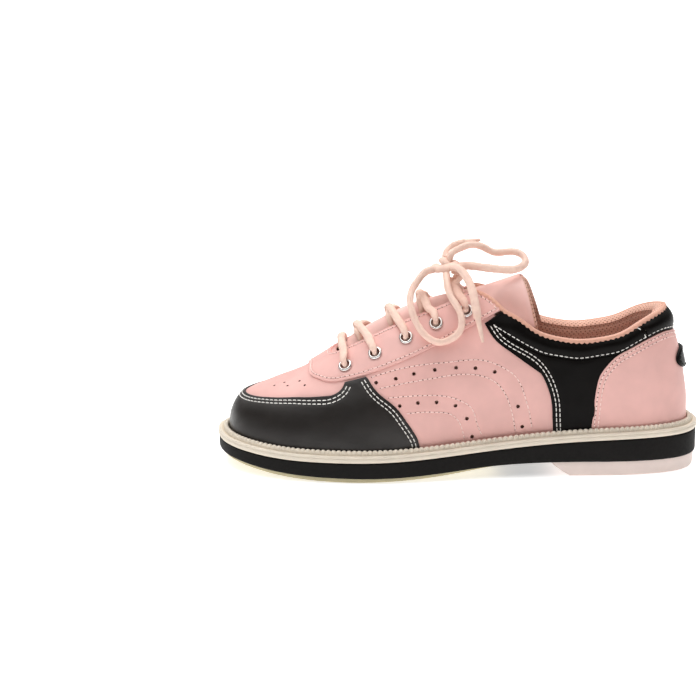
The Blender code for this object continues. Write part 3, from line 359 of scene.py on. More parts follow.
def run_length(points):
    steps = np.linalg.norm(np.diff(points, axis=0), axis=-1)
    return np.concatenate([np.zeros((1,) + steps.shape[1:]), np.cumsum(steps, axis=0)])


def dense(*legs):
    """One close line of (station, height) through several legs, each smooth in itself."""
    rows = []
    for leg in legs:
        leg = np.array(leg, float)
        if len(leg) == 2:
            points = leg[0] + (leg[1] - leg[0]) * np.linspace(0, 1, 25)[:, None]
        else:
            run = run_length(leg * SHAPE_SCALE)
            points = spline(run, leg)(np.linspace(0, run[-1], 24 * len(leg)))
        rows.append(points[1:] if rows else points)
    return np.vstack(rows)


def resampled(line, t, scale=1.0):
    """Points of a close line at shares t of its length."""
    run = run_length(line * scale)
    at = np.asarray(t) * run[-1]
    return np.column_stack([np.interp(at, run, column) for column in line.T])


def inset(line, amount, first=0.0, last=0.0):
    """A close line moved sideways over the skin, to the left (+) or right (-) of its run seen from
    outside. Its ends are trimmed by first and last, all in millimetres."""
    step = 1e-3
    q, h = line[:, 0], line[:, 1]
    along_q = (form(q + step, h) - form(q - step, h)) / (2 * step)
    along_h = (form(q, h + step) - form(q, h - step)) / (2 * step)
    points = form(q, h)
    run = np.gradient(points, axis=0)
    for _ in range(4):
        run[1:-1] = (run[:-2] + 2 * run[1:-1] + run[2:]) / 4
    sideways = np.cross(outward(q, np.minimum(h, .985)), run)
    sideways *= amount / np.linalg.norm(sideways, axis=1, keepdims=True)
    moved = []
    for k in range(len(q)):
        shape = np.column_stack([along_q[k], along_h[k]])
        moved.append(np.linalg.lstsq(shape, sideways[k], rcond=None)[0])
    line = line + np.array(moved)
    total = run_length(form(line[:, 0], line[:, 1]))[-1]
    return resampled(line, np.linspace(first / total, 1 - last / total, len(line)), SHAPE_SCALE)


def spaced(length, cell):
    """Shares of a length that are close together at both ends, so that a panel's edge can be round."""
    middle = np.linspace(EDGE_CELLS[-1], length - EDGE_CELLS[-1], max(3, int(round(length / cell))))
    ends = EDGE_CELLS[:-1]
    return np.concatenate([[0], ends, middle, length - ends[::-1], [length]]) / length


def fill(bottom, top, front, rear, cell):
    """A fine grid of (station, height) inside four lines, each given as points or as a close line: bottom
    and top run backward, front and rear run up."""
    bottom, top, front, rear = (line if isinstance(line, np.ndarray) else dense(line)
                                for line in (bottom, top, front, rear))
    wide = max(run_length(line * SHAPE_SCALE)[-1] for line in (bottom, top))
    tall = max(run_length(line * SHAPE_SCALE)[-1] for line in (front, rear))
    across, up = spaced(wide, cell), spaced(tall, cell)
    bottom, top = (resampled(line, across, SHAPE_SCALE) for line in (bottom, top))
    front, rear = (resampled(line, up, SHAPE_SCALE) for line in (front, rear))
    u = across[:, None, None]
    v = up[None, :, None]
    between = (1 - v) * bottom[:, None] + v * top[:, None] + (1 - u) * front[None] + u * rear[None]
    corners = ((1 - u) * (1 - v) * bottom[0] + u * (1 - v) * bottom[-1]
               + (1 - u) * v * top[0] + u * v * top[-1])
    return between - corners


def mirrored(grid):
    return grid * np.array([-1.0, 1.0])


def on_side(sign, grid):
    """A lateral line or grid, on the side that sign stands for."""
    return grid if sign > 0 else mirrored(grid)


def toe_joined(line):
    """A lateral line that starts at the toe, carried on round the medial side."""
    return np.vstack([line[::-1], mirrored(line)[1:]])


def heel_joined(line):
    """A lateral line that ends at the back of the heel, carried on along the medial side."""
    line = line.copy()
    line[-1, 0] = -1.0
    return np.vstack([line, mirrored(line)[::-1][1:]])


def both_sides(grid, end):
    """Joins a lateral grid to its mirror image at the toe (first row) or at the heel (last row)."""
    other = mirrored(grid)
    if end == "toe":
        return np.concatenate([grid[::-1], other[1:]])
    return np.concatenate([grid, other[::-1][1:]])


# ---------------------------------------------------------------- materials

def shader_of(name, colour, roughness, metallic=0.0, sheen=0.0, specular=0.5):
    made = bpy.data.materials.new(name)
    made.use_nodes = True
    tree = made.node_tree
    shader = tree.nodes["Principled BSDF"]
    shader.inputs["Base Color"].default_value = (*colour, 1)
    shader.inputs["Roughness"].default_value = roughness
    shader.inputs["Metallic"].default_value = metallic
    shader.inputs["Sheen Weight"].default_value = sheen
    shader.inputs["Specular IOR Level"].default_value = specular
    return made, tree, shader


def add(tree, kind, values=None, **settings):
    node = tree.nodes.new("ShaderNode" + kind)
    for key, value in settings.items():
        setattr(node, key, value)
    for key, value in (values or {}).items():
        if isinstance(value, bpy.types.NodeSocket):
            tree.links.new(value, node.inputs[key])
        else:
            node.inputs[key].default_value = value
    return node


def varied(tree, where, scale, dark, light, detail=3.0, contrast=(0.3, 0.7)):
    """A noise that runs between two colours or greys."""
    noise = add(tree, "TexNoise", {"Vector": where, "Scale": scale, "Detail": detail, "Roughness": 0.6})
    ramp = add(tree, "ValToRGB", {"Fac": noise.outputs["Fac"]})
    ramp.color_ramp.elements[0].position, ramp.color_ramp.elements[1].position = contrast
    ramp.color_ramp.elements[0].color = (*dark, 1)
    ramp.color_ramp.elements[1].color = (*light, 1)
    return ramp.outputs["Color"]


def math_node(tree, operation, first, second=0.0):
    return add(tree, "Math", {0: first, 1: second}, operation=operation).outputs[0]


def scaled(colour, share):
    return tuple(min(1.0, c * share) for c in colour)


def leather(name, colour, roughness, grain=1500, height=0.00005, spread=0.07, specular=0.5):
    """Smooth-grained leather: small cells and pores, uneven dye and gloss."""
    made, tree, shader = shader_of(name, colour, roughness, specular=specular)
    where = add(tree, "TexCoord").outputs["Object"]
    tint = varied(tree, where, 45, scaled(colour, 1 - spread), scaled(colour, 1 + spread))
    tree.links.new(tint, shader.inputs["Base Color"])
    gloss = varied(tree, where, 220, (roughness - .05,) * 3, (roughness + .08,) * 3)
    tree.links.new(gloss, shader.inputs["Roughness"])
    warp = add(tree, "TexNoise", {"Vector": where, "Scale": grain * .4, "Detail": 2.0})
    moved = add(tree, "VectorMath", {0: warp.outputs["Color"], "Scale": 0.0006}, operation="SCALE").outputs[0]
    moved = add(tree, "VectorMath", {0: where, 1: moved}, operation="ADD").outputs[0]
    cells = add(tree, "TexVoronoi", {"Vector": moved, "Scale": grain}, feature="DISTANCE_TO_EDGE")
    plateau = add(tree, "MapRange", {"Value": cells.outputs["Distance"], "From Max": 0.16}).outputs[0]
    pores = add(tree, "TexNoise", {"Vector": where, "Scale": grain * 2.3, "Detail": 3.0}).outputs["Fac"]
    relief = math_node(tree, "ADD", plateau, math_node(tree, "MULTIPLY", pores, 0.7))
    bump = add(tree, "Bump", {"Strength": 0.55, "Distance": height, "Height": relief})
    tree.links.new(bump.outputs[0], shader.inputs["Normal"])
    return made


def plain_grained(name, colour, roughness, grain, height, spread=0.06, sheen=0.0, metallic=0.0,
                  specular=0.5):
    """Moulded rubber, felt, board or film: a fine noise in colour, gloss and relief."""
    made, tree, shader = shader_of(name, colour, roughness, metallic, sheen, specular)
    where = add(tree, "TexCoord").outputs["Object"]
    tint = varied(tree, where, 60, scaled(colour, 1 - spread), scaled(colour, 1 + spread), 5.0)
    tree.links.new(tint, shader.inputs["Base Color"])
    gloss = varied(tree, where, grain * .3, (max(.05, roughness - .07),) * 3, (min(1, roughness + .07),) * 3)
    tree.links.new(gloss, shader.inputs["Roughness"])
    noise = add(tree, "TexNoise", {"Vector": where, "Scale": grain, "Detail": 5.0, "Roughness": 0.7})
    bump = add(tree, "Bump", {"Strength": 0.6, "Distance": height, "Height": noise.outputs["Fac"]})
    tree.links.new(bump.outputs[0], shader.inputs["Normal"])
    return made


def dotted_mesh(name, colour, pit, pitch=1.25):
    """Spacer-mesh lining: staggered rows of open dots in a knitted face. Its UV map is in millimetres."""
    made, tree, shader = shader_of(name, colour, 0.9, sheen=0.25)
    uv = add(tree, "UVMap", uv_map="surface").outputs["UV"]
    parts = add(tree, "SeparateXYZ", {0: uv})
    turn = 2 * math.pi / pitch
    waves = [math_node(tree, "COSINE", math_node(tree, "MULTIPLY", parts.outputs[k], turn * .5))
             for k in (0, 1)]
    dots = math_node(tree, "MULTIPLY", waves[0], waves[1])
    pits = add(tree, "MapRange", {"Value": dots, "From Min": 0.30, "From Max": 0.75}).outputs[0]
    where = add(tree, "TexCoord").outputs["Object"]
    tint = varied(tree, where, 160, scaled(colour, .93), scaled(colour, 1.06))
    mix = add(tree, "MixRGB", {"Fac": pits, "Color1": tint, "Color2": (*pit, 1)})
    tree.links.new(mix.outputs[0], shader.inputs["Base Color"])
    fuzz = add(tree, "TexNoise", {"Vector": where, "Scale": 5200.0, "Detail": 2.0}).outputs["Fac"]
    relief = math_node(tree, "SUBTRACT", math_node(tree, "MULTIPLY", fuzz, 0.25), pits)
    bump = add(tree, "Bump", {"Strength": 0.8, "Distance": 0.0004, "Height": relief})
    tree.links.new(bump.outputs[0], shader.inputs["Normal"])
    return made


def woven(name, colour, pitch=0.7, sheen=0.2):
    """A plain weave over the UV map, which is in millimetres."""
    made, tree, shader = shader_of(name, colour, 0.92, sheen=sheen)
    uv = add(tree, "UVMap", uv_map="surface").outputs["UV"]
    parts = add(tree, "SeparateXYZ", {0: uv})
    turn = 2 * math.pi / pitch
    warp = math_node(tree, "SINE", math_node(tree, "MULTIPLY", parts.outputs[0], turn))
    weft = math_node(tree, "SINE", math_node(tree, "MULTIPLY", parts.outputs[1], turn))
    weave = math_node(tree, "MULTIPLY", warp, weft)
    where = add(tree, "TexCoord").outputs["Object"]
    tint = varied(tree, where, 260, scaled(colour, .9), scaled(colour, 1.08))
    share = add(tree, "MapRange", {"Value": weave, "From Min": -1.0, "To Max": 0.14}).outputs[0]
    mix = add(tree, "MixRGB", {"Fac": share, "Color1": tint, "Color2": (*scaled(colour, .72), 1)})
    tree.links.new(mix.outputs[0], shader.inputs["Base Color"])
    bump = add(tree, "Bump", {"Strength": 0.5, "Distance": 0.00015, "Height": weave})
    tree.links.new(bump.outputs[0], shader.inputs["Normal"])
    return made


pink = leather("pink_leather", PINK, 0.46)
black = leather("black_leather", BLACK, 0.34, height=0.000045, spread=0.25, specular=0.09)
# The tongue's leather is a painted-light copy of the pink leather, lighter because the tongue faces up.
tongue_pink_painted_light = leather("tongue_pink_painted_light_leather", TONGUE_PINK_PAINTED_LIGHT, 0.46)
toe_black = leather("toe_black_leather", TOE_BLACK, 0.36, height=0.00004, spread=0.2, specular=0.42)
lining_mesh = dotted_mesh("lining_mesh", PEACH, MESH_PIT)
binding_fabric = plain_grained("binding_fabric", (0.68, 0.36, 0.265), 0.75, 2600, 0.0001, sheen=0.1)
lace_cotton = woven("lace_cotton", LACE_COLOUR, 0.55, 0.05)
white_thread = plain_grained("white_thread", (0.86, 0.84, 0.80), 0.7, 5200, 0.00012)
pink_thread = plain_grained("pink_thread", (0.98, 0.72, 0.67), 0.7, 5200, 0.00012)
# This material is painted shade: a dark red-brown for the walls of punched holes and for the needle-hole
# studs, standing in for the shade inside those holes.
hole_painted_shade = plain_grained("hole_painted_shade", (0.13, 0.05, 0.045), 0.9, 3000, 0.00005, specular=.1)
metal = plain_grained("eyelet_metal", (0.66, 0.66, 0.645), 0.24, 1800, 0.00001, metallic=1.0)
welt_rubber = plain_grained("welt_rubber", CREAM, 0.55, 1800, 0.00006)
midsole_rubber = plain_grained("midsole_rubber", (0.005, 0.0042, 0.0038), 0.66, 2200, 0.00009, 0.2,
                               specular=.17)
pad_felt = plain_grained("slide_pad_felt", (0.60, 0.53, 0.34), 0.95, 3600, 0.0002, sheen=0.1)
heel_rubber = plain_grained("heel_rubber", (0.80, 0.67, 0.62), 0.45, 1500, 0.00005)
sock_fabric = woven("sock_fabric", (0.72, 0.40, 0.33), 0.9)
board_fibre = plain_grained("board_fibre", (0.45, 0.33, 0.22), 0.9, 900, 0.0002, 0.2)
foam_cells = plain_grained("foam_cells", (0.85, 0.78, 0.50), 1.0, 1500, 0.0004, 0.1)
shank_steel = plain_grained("shank_steel", (0.45, 0.45, 0.47), 0.4, 1500, 0.00003, metallic=1.0)
cork_mix = plain_grained("cork_mix", (0.50, 0.32, 0.18), 0.95, 500, 0.0004, 0.35)


# ---------------------------------------------------------------- mesh helpers

def fix_faces(obj):
    """Turns a closed piece's faces outward."""
    build = bmesh.new()
    build.from_mesh(obj.data)
    bmesh.ops.recalc_face_normals(build, faces=build.faces)
    build.to_mesh(obj.data)
    build.free()


def show(name, points, faces, surfaces, stands_for=(), body="shoe", sharp=40, uv=None, which=None,
         turn_out=True):
    """Makes a piece from points in millimetres from the toe, and lets it ride on a body."""
    mesh = bpy.data.meshes.new(name)
    mesh.from_pydata(placed(points).tolist(), [], [tuple(f) for f in faces])
    for surface in surfaces if isinstance(surfaces, list) else [surfaces]:
        mesh.materials.append(surface)
    if which is not None:
        mesh.polygons.foreach_set("material_index", np.asarray(which, np.int32))
    if uv is not None:
        layer = mesh.uv_layers.new(name="surface")
        corners = np.zeros(len(mesh.loops), np.int32)
        mesh.loops.foreach_get("vertex_index", corners)
        layer.data.foreach_set("uv", np.asarray(uv, np.float32)[corners].ravel())
    mesh.shade_smooth()
    mesh.set_sharp_from_angle(angle=math.radians(sharp))
    obj = bpy.data.objects.new(name, mesh)
    bpy.context.scene.collection.objects.link(obj)
    if stands_for:
        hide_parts(*stands_for)
    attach(obj, body)
    if turn_out:
        fix_faces(obj)
    return obj


def grid_faces(rows, columns, start=0, around=False):
    """Quads of a grid of points. With around, its last column joins its first."""
    i = np.arange(rows - 1)[:, None]
    j = np.arange(columns if around else columns - 1)[None, :]
    after = (j + 1) % columns
    a = start + i * columns + j
    b = start + i * columns + after
    return np.stack([a, a + columns, b + columns, b], -1).reshape(-1, 4)


def tube_faces(rings, around, start=0, end="capped"):
    """Quads along a stack of closed rings, which ends capped, open, or joined to its own first ring."""
    faces = [tuple(f) for f in grid_faces(rings, around, start, around=True)]
    first = range(start, start + around)
    last = [index + (rings - 1) * around for index in first]
    if end == "capped":
        faces += [tuple(first), tuple(last[::-1])]
    elif end == "joined":
        faces += [(last[j - 1], first[j - 1], first[j], last[j]) for j in range(around)]
    return faces


def rim_of(rows, columns):
    """The grid's border, once round."""
    rim = [i * columns for i in range(rows)] + [(rows - 1) * columns + j for j in range(1, columns)]
    rim += [i * columns + columns - 1 for i in range(rows - 2, -1, -1)] + list(range(columns - 2, 0, -1))
    return np.array(rim)


def shell_faces(rows, columns):
    """The faces of a closed shell between two grids: its two faces, and the walls round its rim."""
    faces = grid_faces(rows, columns)
    size = rows * columns
    rim = rim_of(rows, columns)
    after = np.roll(rim, -1)
    return faces, faces[:, ::-1] + size, np.stack([rim, size + rim, size + after, after], -1)


def across_run(points):
    """Lengths across a grid, from its first column."""
    return np.swapaxes(run_length(np.swapaxes(points, 0, 1)), 0, 1)


def grid_uv(points):
    """Lengths along and across a grid, in millimetres."""
    across = across_run(points)
    along = run_length(points)[:, [points.shape[1] // 2]]
    return np.stack([along + 0 * across, across], -1).reshape(-1, 2)


def edge_distance(points, over_ridge=False):
    """How far each point of a grid is from its border. The ridge, where two halves meet, is no border."""
    along, across = run_length(points), across_run(points)
    if not over_ridge:
        across = np.minimum(across, across[:, -1:] - across)
    return np.minimum(np.minimum(along, along[-1:] - along), across)


def near(points, marks):
    """The distance from each point to the nearest mark."""
    tree = KDTree(len(marks))
    for index, mark in enumerate(marks):
        tree.insert(mark, index)
    tree.balance()
    flat = points.reshape(-1, 3)
    return np.array([tree.find(point)[2] for point in flat]).reshape(points.shape[:-1])


def ripple(points):
    """The slow unevenness of stretched leather, in millimetres."""
    x, y, z = points[..., 0], points[..., 1], points[..., 2]
    return (0.10 * np.sin(x * .13 + z * .21 + .5) * np.sin(y * .17 + z * .09)
            + 0.05 * np.sin(x * .31 - z * .27) + 0.04 * np.sin(z * .43 + x * .11 + y * .2))


def panel(name, grid, depth, surface, stands_for, rows=(), press=0.15, rings=(), uneven=1.0,
          over_ridge=False, thickness=LEATHER):
    """A closed leather or fabric panel on the form, with round edges. It is pressed in along its rows of
    stitches and under rings, which are (centre, radius). Over the ridge its two halves are welded."""
    q, h = grid[..., 0], grid[..., 1]
    normal = outward(q, h)
    base = form(q, h)
    depth = np.broadcast_to(depth, q.shape)
    points = base + normal * depth[..., None]
    border = edge_distance(points, over_ridge)
    at_edge = press * np.exp(-(border / 1.6) ** 2)
    inner = np.clip(border / EDGE_ROUND, 0, 1)
    top = depth - EDGE_ROUND * (1 - np.sqrt(1 - (1 - inner) ** 2)) - at_edge
    top = top + uneven * ripple(points) * smooth(border / 3)
    if len(rows):
        away = near(points, np.vstack([row["line"] for row in rows]))
        top = top - 0.22 * np.exp(-(away / .75) ** 2)
    for centre, radius in rings:
        away = np.linalg.norm(points - centre, axis=-1) - radius
        top = top - 0.30 * np.exp(-(away / .9) ** 2)
    outside = base + normal * top[..., None]
    inside = base + normal * (depth - thickness - at_edge)[..., None]
    upper, lower, walls = shell_faces(*q.shape)
    if over_ridge:
        last = q.shape[1] - 1
        first, second = walls[:, 0] % q.shape[1], walls[:, 3] % q.shape[1]
        walls = walls[(first < last) | (second < last)]
    faces = np.vstack([upper, lower, walls])
    i, j = q.shape[0] // 2, q.shape[1] // 2
    turn = np.cross(outside[i, j] - outside[i - 1, j], outside[i, j] - outside[i, j - 1])
    if np.dot(turn, normal[i, j]) < 0:
        faces = faces[:, ::-1]
    points = np.vstack([outside.reshape(-1, 3), inside.reshape(-1, 3)])
    obj = show(name, points, faces, surface, stands_for, sharp=50, uv=np.vstack([grid_uv(outside)] * 2),
               turn_out=False)
    if over_ridge:
        build = bmesh.new()
        build.from_mesh(obj.data)
        bmesh.ops.remove_doubles(build, verts=build.verts, dist=0.00001)
        build.to_mesh(obj.data)
        build.free()
    return obj


def punch(obj, places, radius, surface=None):
    """Cuts round holes straight through a panel. places are (point, direction). A given surface colours the
    holes' walls; with the hole material that colour is painted shade.
    """
    mesh = bpy.data.meshes.new(obj.name + "_punch")
    build = bmesh.new()
    for place, normal in places:
        turn = Vector((0, 0, 1)).rotation_difference(Vector(normal)).to_matrix().to_4x4()
        bmesh.ops.create_cone(build, cap_ends=True, segments=20, radius1=radius * MM, radius2=radius * MM,
                              depth=0.006, matrix=Matrix.Translation(Vector(placed(place))) @ turn)
    build.to_mesh(mesh)
    build.free()
    if surface is not None:
        mesh.materials.append(surface)
    punches = bpy.data.objects.new(mesh.name, mesh)
    bpy.context.scene.collection.objects.link(punches)
    hole = obj.modifiers.new("holes", "BOOLEAN")
    hole.operation = "DIFFERENCE"
    hole.solver = "EXACT"
    hole.object = punches
    hole.material_mode = "TRANSFER"
    bpy.context.view_layer.update()
    cut_mesh = bpy.data.meshes.new_from_object(obj.evaluated_get(bpy.context.evaluated_depsgraph_get()))
    obj.modifiers.clear()
    old = obj.data
    obj.data = cut_mesh
    cut_mesh.name = obj.name
    bpy.data.objects.remove(punches)
    bpy.data.meshes.remove(old)
    cut_mesh.shade_smooth()
    cut_mesh.set_sharp_from_angle(angle=math.radians(50))


# ---------------------------------------------------------------- stitches

def stitch_row(line, depth=SEAM_DEPTH, pitch=WHITE_PITCH, uneven=0.92):
    """Where a row of stitches lies: its close line of points, its directions out, and its length so far."""
    q, h = line[:, 0], line[:, 1]
    normal = outward(q, h)
    points = form(q, h) + normal * np.broadcast_to(depth, q.shape)[..., None]
    points = points + normal * (uneven * ripple(points))[:, None]
    run = run_length(points)
    count = max(1, int(round(run[-1] / pitch)))
    return {"line": points, "normal": normal, "run": run, "count": count}


def on_row(row, at):
    """Points of a row at lengths along it, with their directions out."""
    point, normal = (np.column_stack([np.interp(at, row["run"], column) for column in row[key].T])
                     for key in ("line", "normal"))
    return point, normal / np.linalg.norm(normal, axis=1, keepdims=True)


def make_stitches(name, rows, surface=white_thread, radius=WHITE_THREAD_RADIUS):
    """Every stitch of the rows: a short thread that dips into its needle holes."""
    points, faces = [], []
    turns = np.linspace(0, 2 * np.pi, THREAD_SIDES, endpoint=False)
    rings = len(THREAD_PLACE)
    for row in rows:
        length = row["run"][-1] / row["count"]
        for k in range(row["count"]):
            middle, normal = on_row(row, (k + THREAD_PLACE) * length)
            middle = middle + normal * THREAD_LIFT[:, None]
            along = np.gradient(middle, axis=0)
            along /= np.linalg.norm(along, axis=1, keepdims=True)
            side = np.cross(along, normal)
            side /= np.linalg.norm(side, axis=1, keepdims=True)
            up = np.cross(side, along)
            size = (radius * THREAD_SIZE)[:, None, None]
            faces += tube_faces(rings, THREAD_SIDES, len(points) * rings * THREAD_SIDES)
            ring = (middle[:, None] + size * (np.cos(turns)[None, :, None] * side[:, None]
                                              + np.sin(turns)[None, :, None] * up[:, None]))
            points.append(ring.reshape(-1, 3))
    show(name, np.vstack(points), faces, surface, sharp=80)


def make_needle_holes(name, rows, radius):
    """The needle holes at the ends of tone-on-tone stitches, as low studs in the leather, coloured dark with
    painted shade for the inside of each hole.
    """
    points, faces = [], []
    sides = 8
    turns = np.linspace(0, 2 * np.pi, sides, endpoint=False)
    count = 0
    for row in rows:
        length = row["run"][-1] / row["count"]
        for place, out in zip(*on_row(row, np.arange(row["count"] + 1) * length)):
            side = np.cross(out, [0.3, 0.1, 1.0])
            side /= np.linalg.norm(side)
            up = np.cross(out, side)
            ring = radius * (np.cos(turns)[:, None] * side + np.sin(turns)[:, None] * up)
            points += [place + out * -.6 + ring * .8, place + out * -.06 + ring, [place + out * -.02]]
            faces += tube_faces(2, sides, count, end="open")
            faces += [(count + sides + j, count + sides + (j + 1) % sides, count + 2 * sides)
                      for j in range(sides)]
            faces.append(tuple(count + j for j in range(sides))[::-1])
            count += 2 * sides + 1
    show(name, np.vstack(points), faces, hole_painted_shade)


# ---------------------------------------------------------------- laces

def eyelet_place(sign, index, depth=0.0):
    """The middle of an eyelet's hole at a depth, and its direction out."""
    q, h = EYELETS[index]
    normal = outward(q * sign, h)
    return skin(q * sign, h) + normal * depth, normal


def away_from_foot(points):
    """The direction from the foot's middle line to each point."""
    level = np.full(len(points), 30.0)
    return points - np.column_stack([points[:, 0] + 20, np.full(len(points), -1.0), level])


def turned_along(along):
    """A direction square to a path, carried along it without twisting."""
    up = np.zeros_like(along)
    first = np.cross(along[0], [0.2, 1.0, 0.1])
    up[0] = first / np.linalg.norm(first)
    for i in range(1, len(up)):
        turned = up[i - 1] - along[i] * np.dot(up[i - 1], along[i])
        up[i] = turned / np.linalg.norm(turned)
    return up


def braided(name, points, radii, stands_for=(), hint=None, flat=0.90):
    """A braided lace along a smooth line: an oval tube with the braid's crossing plaits raised on it."""
    points = np.asarray(points, float)
    run = run_length(points)
    count = max(6, int(round(run[-1] / .5)))
    even = np.linspace(0, run[-1], count + 1)
    line = spline(run, np.column_stack([points, radii]))(even)
    middle = line[:, :3]
    radius = np.clip(line[:, 3], min(radii), max(radii))
    along = np.gradient(middle, axis=0)
    along /= np.linalg.norm(along, axis=1, keepdims=True)
    if hint is None:
        up = turned_along(along)
    else:
        out = hint(middle)
        up = out - along * np.sum(out * along, axis=1, keepdims=True)
        up /= np.linalg.norm(up, axis=1, keepdims=True)
    side = np.cross(along, up)
    around = 22
    turns = np.linspace(0, 2 * np.pi, around, endpoint=False)
    travelled = even[:, None]
    plait = (np.abs(np.cos(4 * turns[None] + travelled * 1.9))
             * np.abs(np.cos(4 * turns[None] - travelled * 1.9)))
    lumpy = 1 + 0.03 * np.sin(travelled * .61 + 1) + 0.02 * np.sin(travelled * 1.37)
    size = radius[:, None] * lumpy * (0.95 + 0.10 * plait)
    wide = 1.12
    ring = (middle[:, None] + (size * np.cos(turns) * wide)[..., None] * side[:, None]
            + (size * np.sin(turns) * flat)[..., None] * up[:, None])
    uv = np.stack([np.repeat(travelled, around, 1), np.repeat(turns[None] * 2.0, count + 1, 0)], -1)
    return show(name, ring.reshape(-1, 3), tube_faces(count + 1, around), lace_cotton, stands_for,
                sharp=75, uv=uv.reshape(-1, 2))


def knot_exit(direction, further=0.0):
    """Where a lace leaves the knot in this direction, or a little further out."""
    direction = np.asarray(direction, float)
    direction = direction / np.linalg.norm(direction)
    reach = 1 / np.linalg.norm(direction / KNOT_RADII)
    return KNOT + direction * (reach + GAP + .6 + further)


REAR_START, REAR_STOP = (2, 1, 5), (5, -.5, .5)
SIDE_START, SIDE_STOP = (0, -5, -2.5), (-5, -2, -.5)
LATERAL_START, MEDIAL_START = (3, -5, 1), (0, 4, 3)
REAR_LOOP = [knot_exit(REAR_START), knot_exit(REAR_START, 3), (134, 2, 121.5), (141, 3, 124), (148, 4, 123),
             (155, 5, 119.5), (162, 4, 120), (169, 2, 119.5), (172, -3, 116), (168, -7, 113),
             (159, -8, 112.5), (148, -7, 113.5), knot_exit(REAR_STOP, 4), knot_exit(REAR_STOP)]
SIDE_LOOP = [knot_exit(SIDE_START), knot_exit(SIDE_START, 4), (130, -20, 100), (135, -26, 92), (135, -29, 83),
             (130, -29, 78), (124, -28.5, 76), (118, -28, 78), (113, -26, 83), (109, -23, 91),
             (108, -15, 100), (112, -8, 106), knot_exit(SIDE_STOP, 3.5), knot_exit(SIDE_STOP)]
LATERAL_END = [knot_exit(LATERAL_START), knot_exit(LATERAL_START, 4), (139, -17, 109.5), (143, -25.5, 98),
               (144.5, -28.5, 90)]
MEDIAL_END = [knot_exit(MEDIAL_START), knot_exit(MEDIAL_START, 3), (133, 11, 122), (139, 13, 123.5)]
CORDS = [("lace_loop_rear", REAR_LOOP, REAR_START, "object"),
         ("lace_loop_side", SIDE_LOOP, SIDE_START, "object"),
         ("lace_end_lateral", LATERAL_END, LATERAL_START, "fitting")]


def free_lace(name, route):
    """A free length of lace: its piece, points along it, and its length in metres."""
    points = np.array(route, float)
    run = run_length(points)
    line = spline(run, points)(np.linspace(0, run[-1], 200))
    obj = braided(name + "_braid", points, np.full(len(points), LACE_RADIUS), stands_for=(name,))
    return obj, resampled(line, np.linspace(0, 1, 60)), float(run_length(line)[-1]) * MM


def aglet(name, route, direction, length):
    """The shrunk tip at a lace's free end."""
    direction = np.array(direction) / np.linalg.norm(direction)
    start = np.array(route[-1], float) - direction * .8
    points = [start + direction * reach for reach in (0, 2, length * .6, length + .8)]
    radii = [LACE_RADIUS * .96, AGLET_RADIUS * 1.05, AGLET_RADIUS * .85, AGLET_RADIUS * .5]
    return braided(name + "_tip", points, radii, (name,))


def make_cords():
    """The bow's two loops and its two free ends."""
    for name, route, start, far_end in CORDS:
        obj, line, length = free_lace(name, route)
        tips = []
        if far_end == "fitting":
            tips = [aglet("aglet_lateral", LATERAL_END, (0.21, -.16, -.96), 14.0)]
    free_lace("lace_end_medial", MEDIAL_END)
    aglet("aglet_medial", MEDIAL_END, (.93, .3, .1), 9.0)


def strand(sign, index, lift):
    """One crossing of the lace: through an eyelet, under its facing, over the throat and to the next pair."""
    near_q, near_h = EYELETS[index]
    far_q, far_h = EYELETS[index + 1]
    step = far_q - near_q
    start, start_normal = eyelet_place(sign, index)
    stop, stop_normal = eyelet_place(-sign, index + 1)
    edge = float(line_at(THROAT, near_q + .45 * step))
    far_edge = float(line_at(THROAT, far_q - .3 * step))
    inward = skin(far_q * -sign, far_h + .03) - stop
    # Each row has the side, the share of the step, the height, the depth and the lace's radius.
    way = [(sign, .03, near_h + .02, UNDER_FACING, LACE_SQUEEZED),
           (sign, .25, near_h + .55 * (edge - near_h), UNDER_FACING, LACE_SQUEEZED),
           (sign, .40, edge - .03, UNDER_FACING, LACE_SQUEEZED),
           (sign, .43, edge + .025, -5.0, LACE_SQUEEZED),
           (sign, .46, edge + .07, -2.0, 1.4),
           (sign, .49, edge + .11, 1.8, 1.7),
           (sign, .55, 1.0, CROSSING_DEPTH + lift, 1.9),
           (-sign, .68, far_edge + .08, 2.5, 2.0),
           (-sign, .82, far_edge - .03, 2.2, LACE_RADIUS),
           (-sign, .91, far_h + .085, 2.7, 2.0)]
    keys = [(start - 3.2 * start_normal, LACE_SQUEEZED)]
    keys += [(skin((near_q + share * step) * side, h, depth), radius)
             for side, share, h, depth, radius in way]
    return keys + [(stop + stop_normal * 3.3 + inward * .5, 1.7), (stop + stop_normal * 1.0, 1.5)]


def half_lace(sign):
    """The lace from one of the eyelets nearest the toe up to the knot."""
    keys = []
    for index in range(len(EYELETS) - 1):
        keys += strand(sign, index, 0.0 if sign > 0 else CROSSING_LIFT)
        sign = -sign
    q, h = EYELETS[-1]
    edge = float(line_at(THROAT, q))
    way = [(.001, h + .02, UNDER_FACING, LACE_SQUEEZED), (.003, edge - .04, UNDER_FACING, LACE_SQUEEZED),
           (.005, edge + .03, -4.3, LACE_SQUEEZED), (.008, edge + .06, -1.0, 1.4),
           (.013, edge + .10, 2.4, 1.8)]
    keys.append((eyelet_place(sign, -1, -3.2)[0], LACE_SQUEEZED))
    keys += [(skin((q + ahead) * sign, height, depth), radius) for ahead, height, depth, radius in way]
    pull = (5.0, -4.0 * sign, -2.0)
    return keys + [(knot_exit(pull, 4.0), 1.9), (knot_exit(pull, -2.0), 1.8)]


def half_bar(sign):
    """Half of the bar between the two eyelets nearest the toe."""
    place, normal = eyelet_place(sign, 0)
    q, h = EYELETS[0]
    inward = skin(q * sign, h + .03) - place
    way = [(0, .085, 2.9, 2.0), (.004, .19, 2.4, LACE_RADIUS), (.008, .29, 2.2, LACE_RADIUS)]
    keys = [(place + normal * 1.0, 1.5), (place + normal * 3.3 + inward * .5, 1.7)]
    return keys + [(skin((q + ahead) * sign, h + rise, depth), radius) for ahead, rise, depth, radius in way]


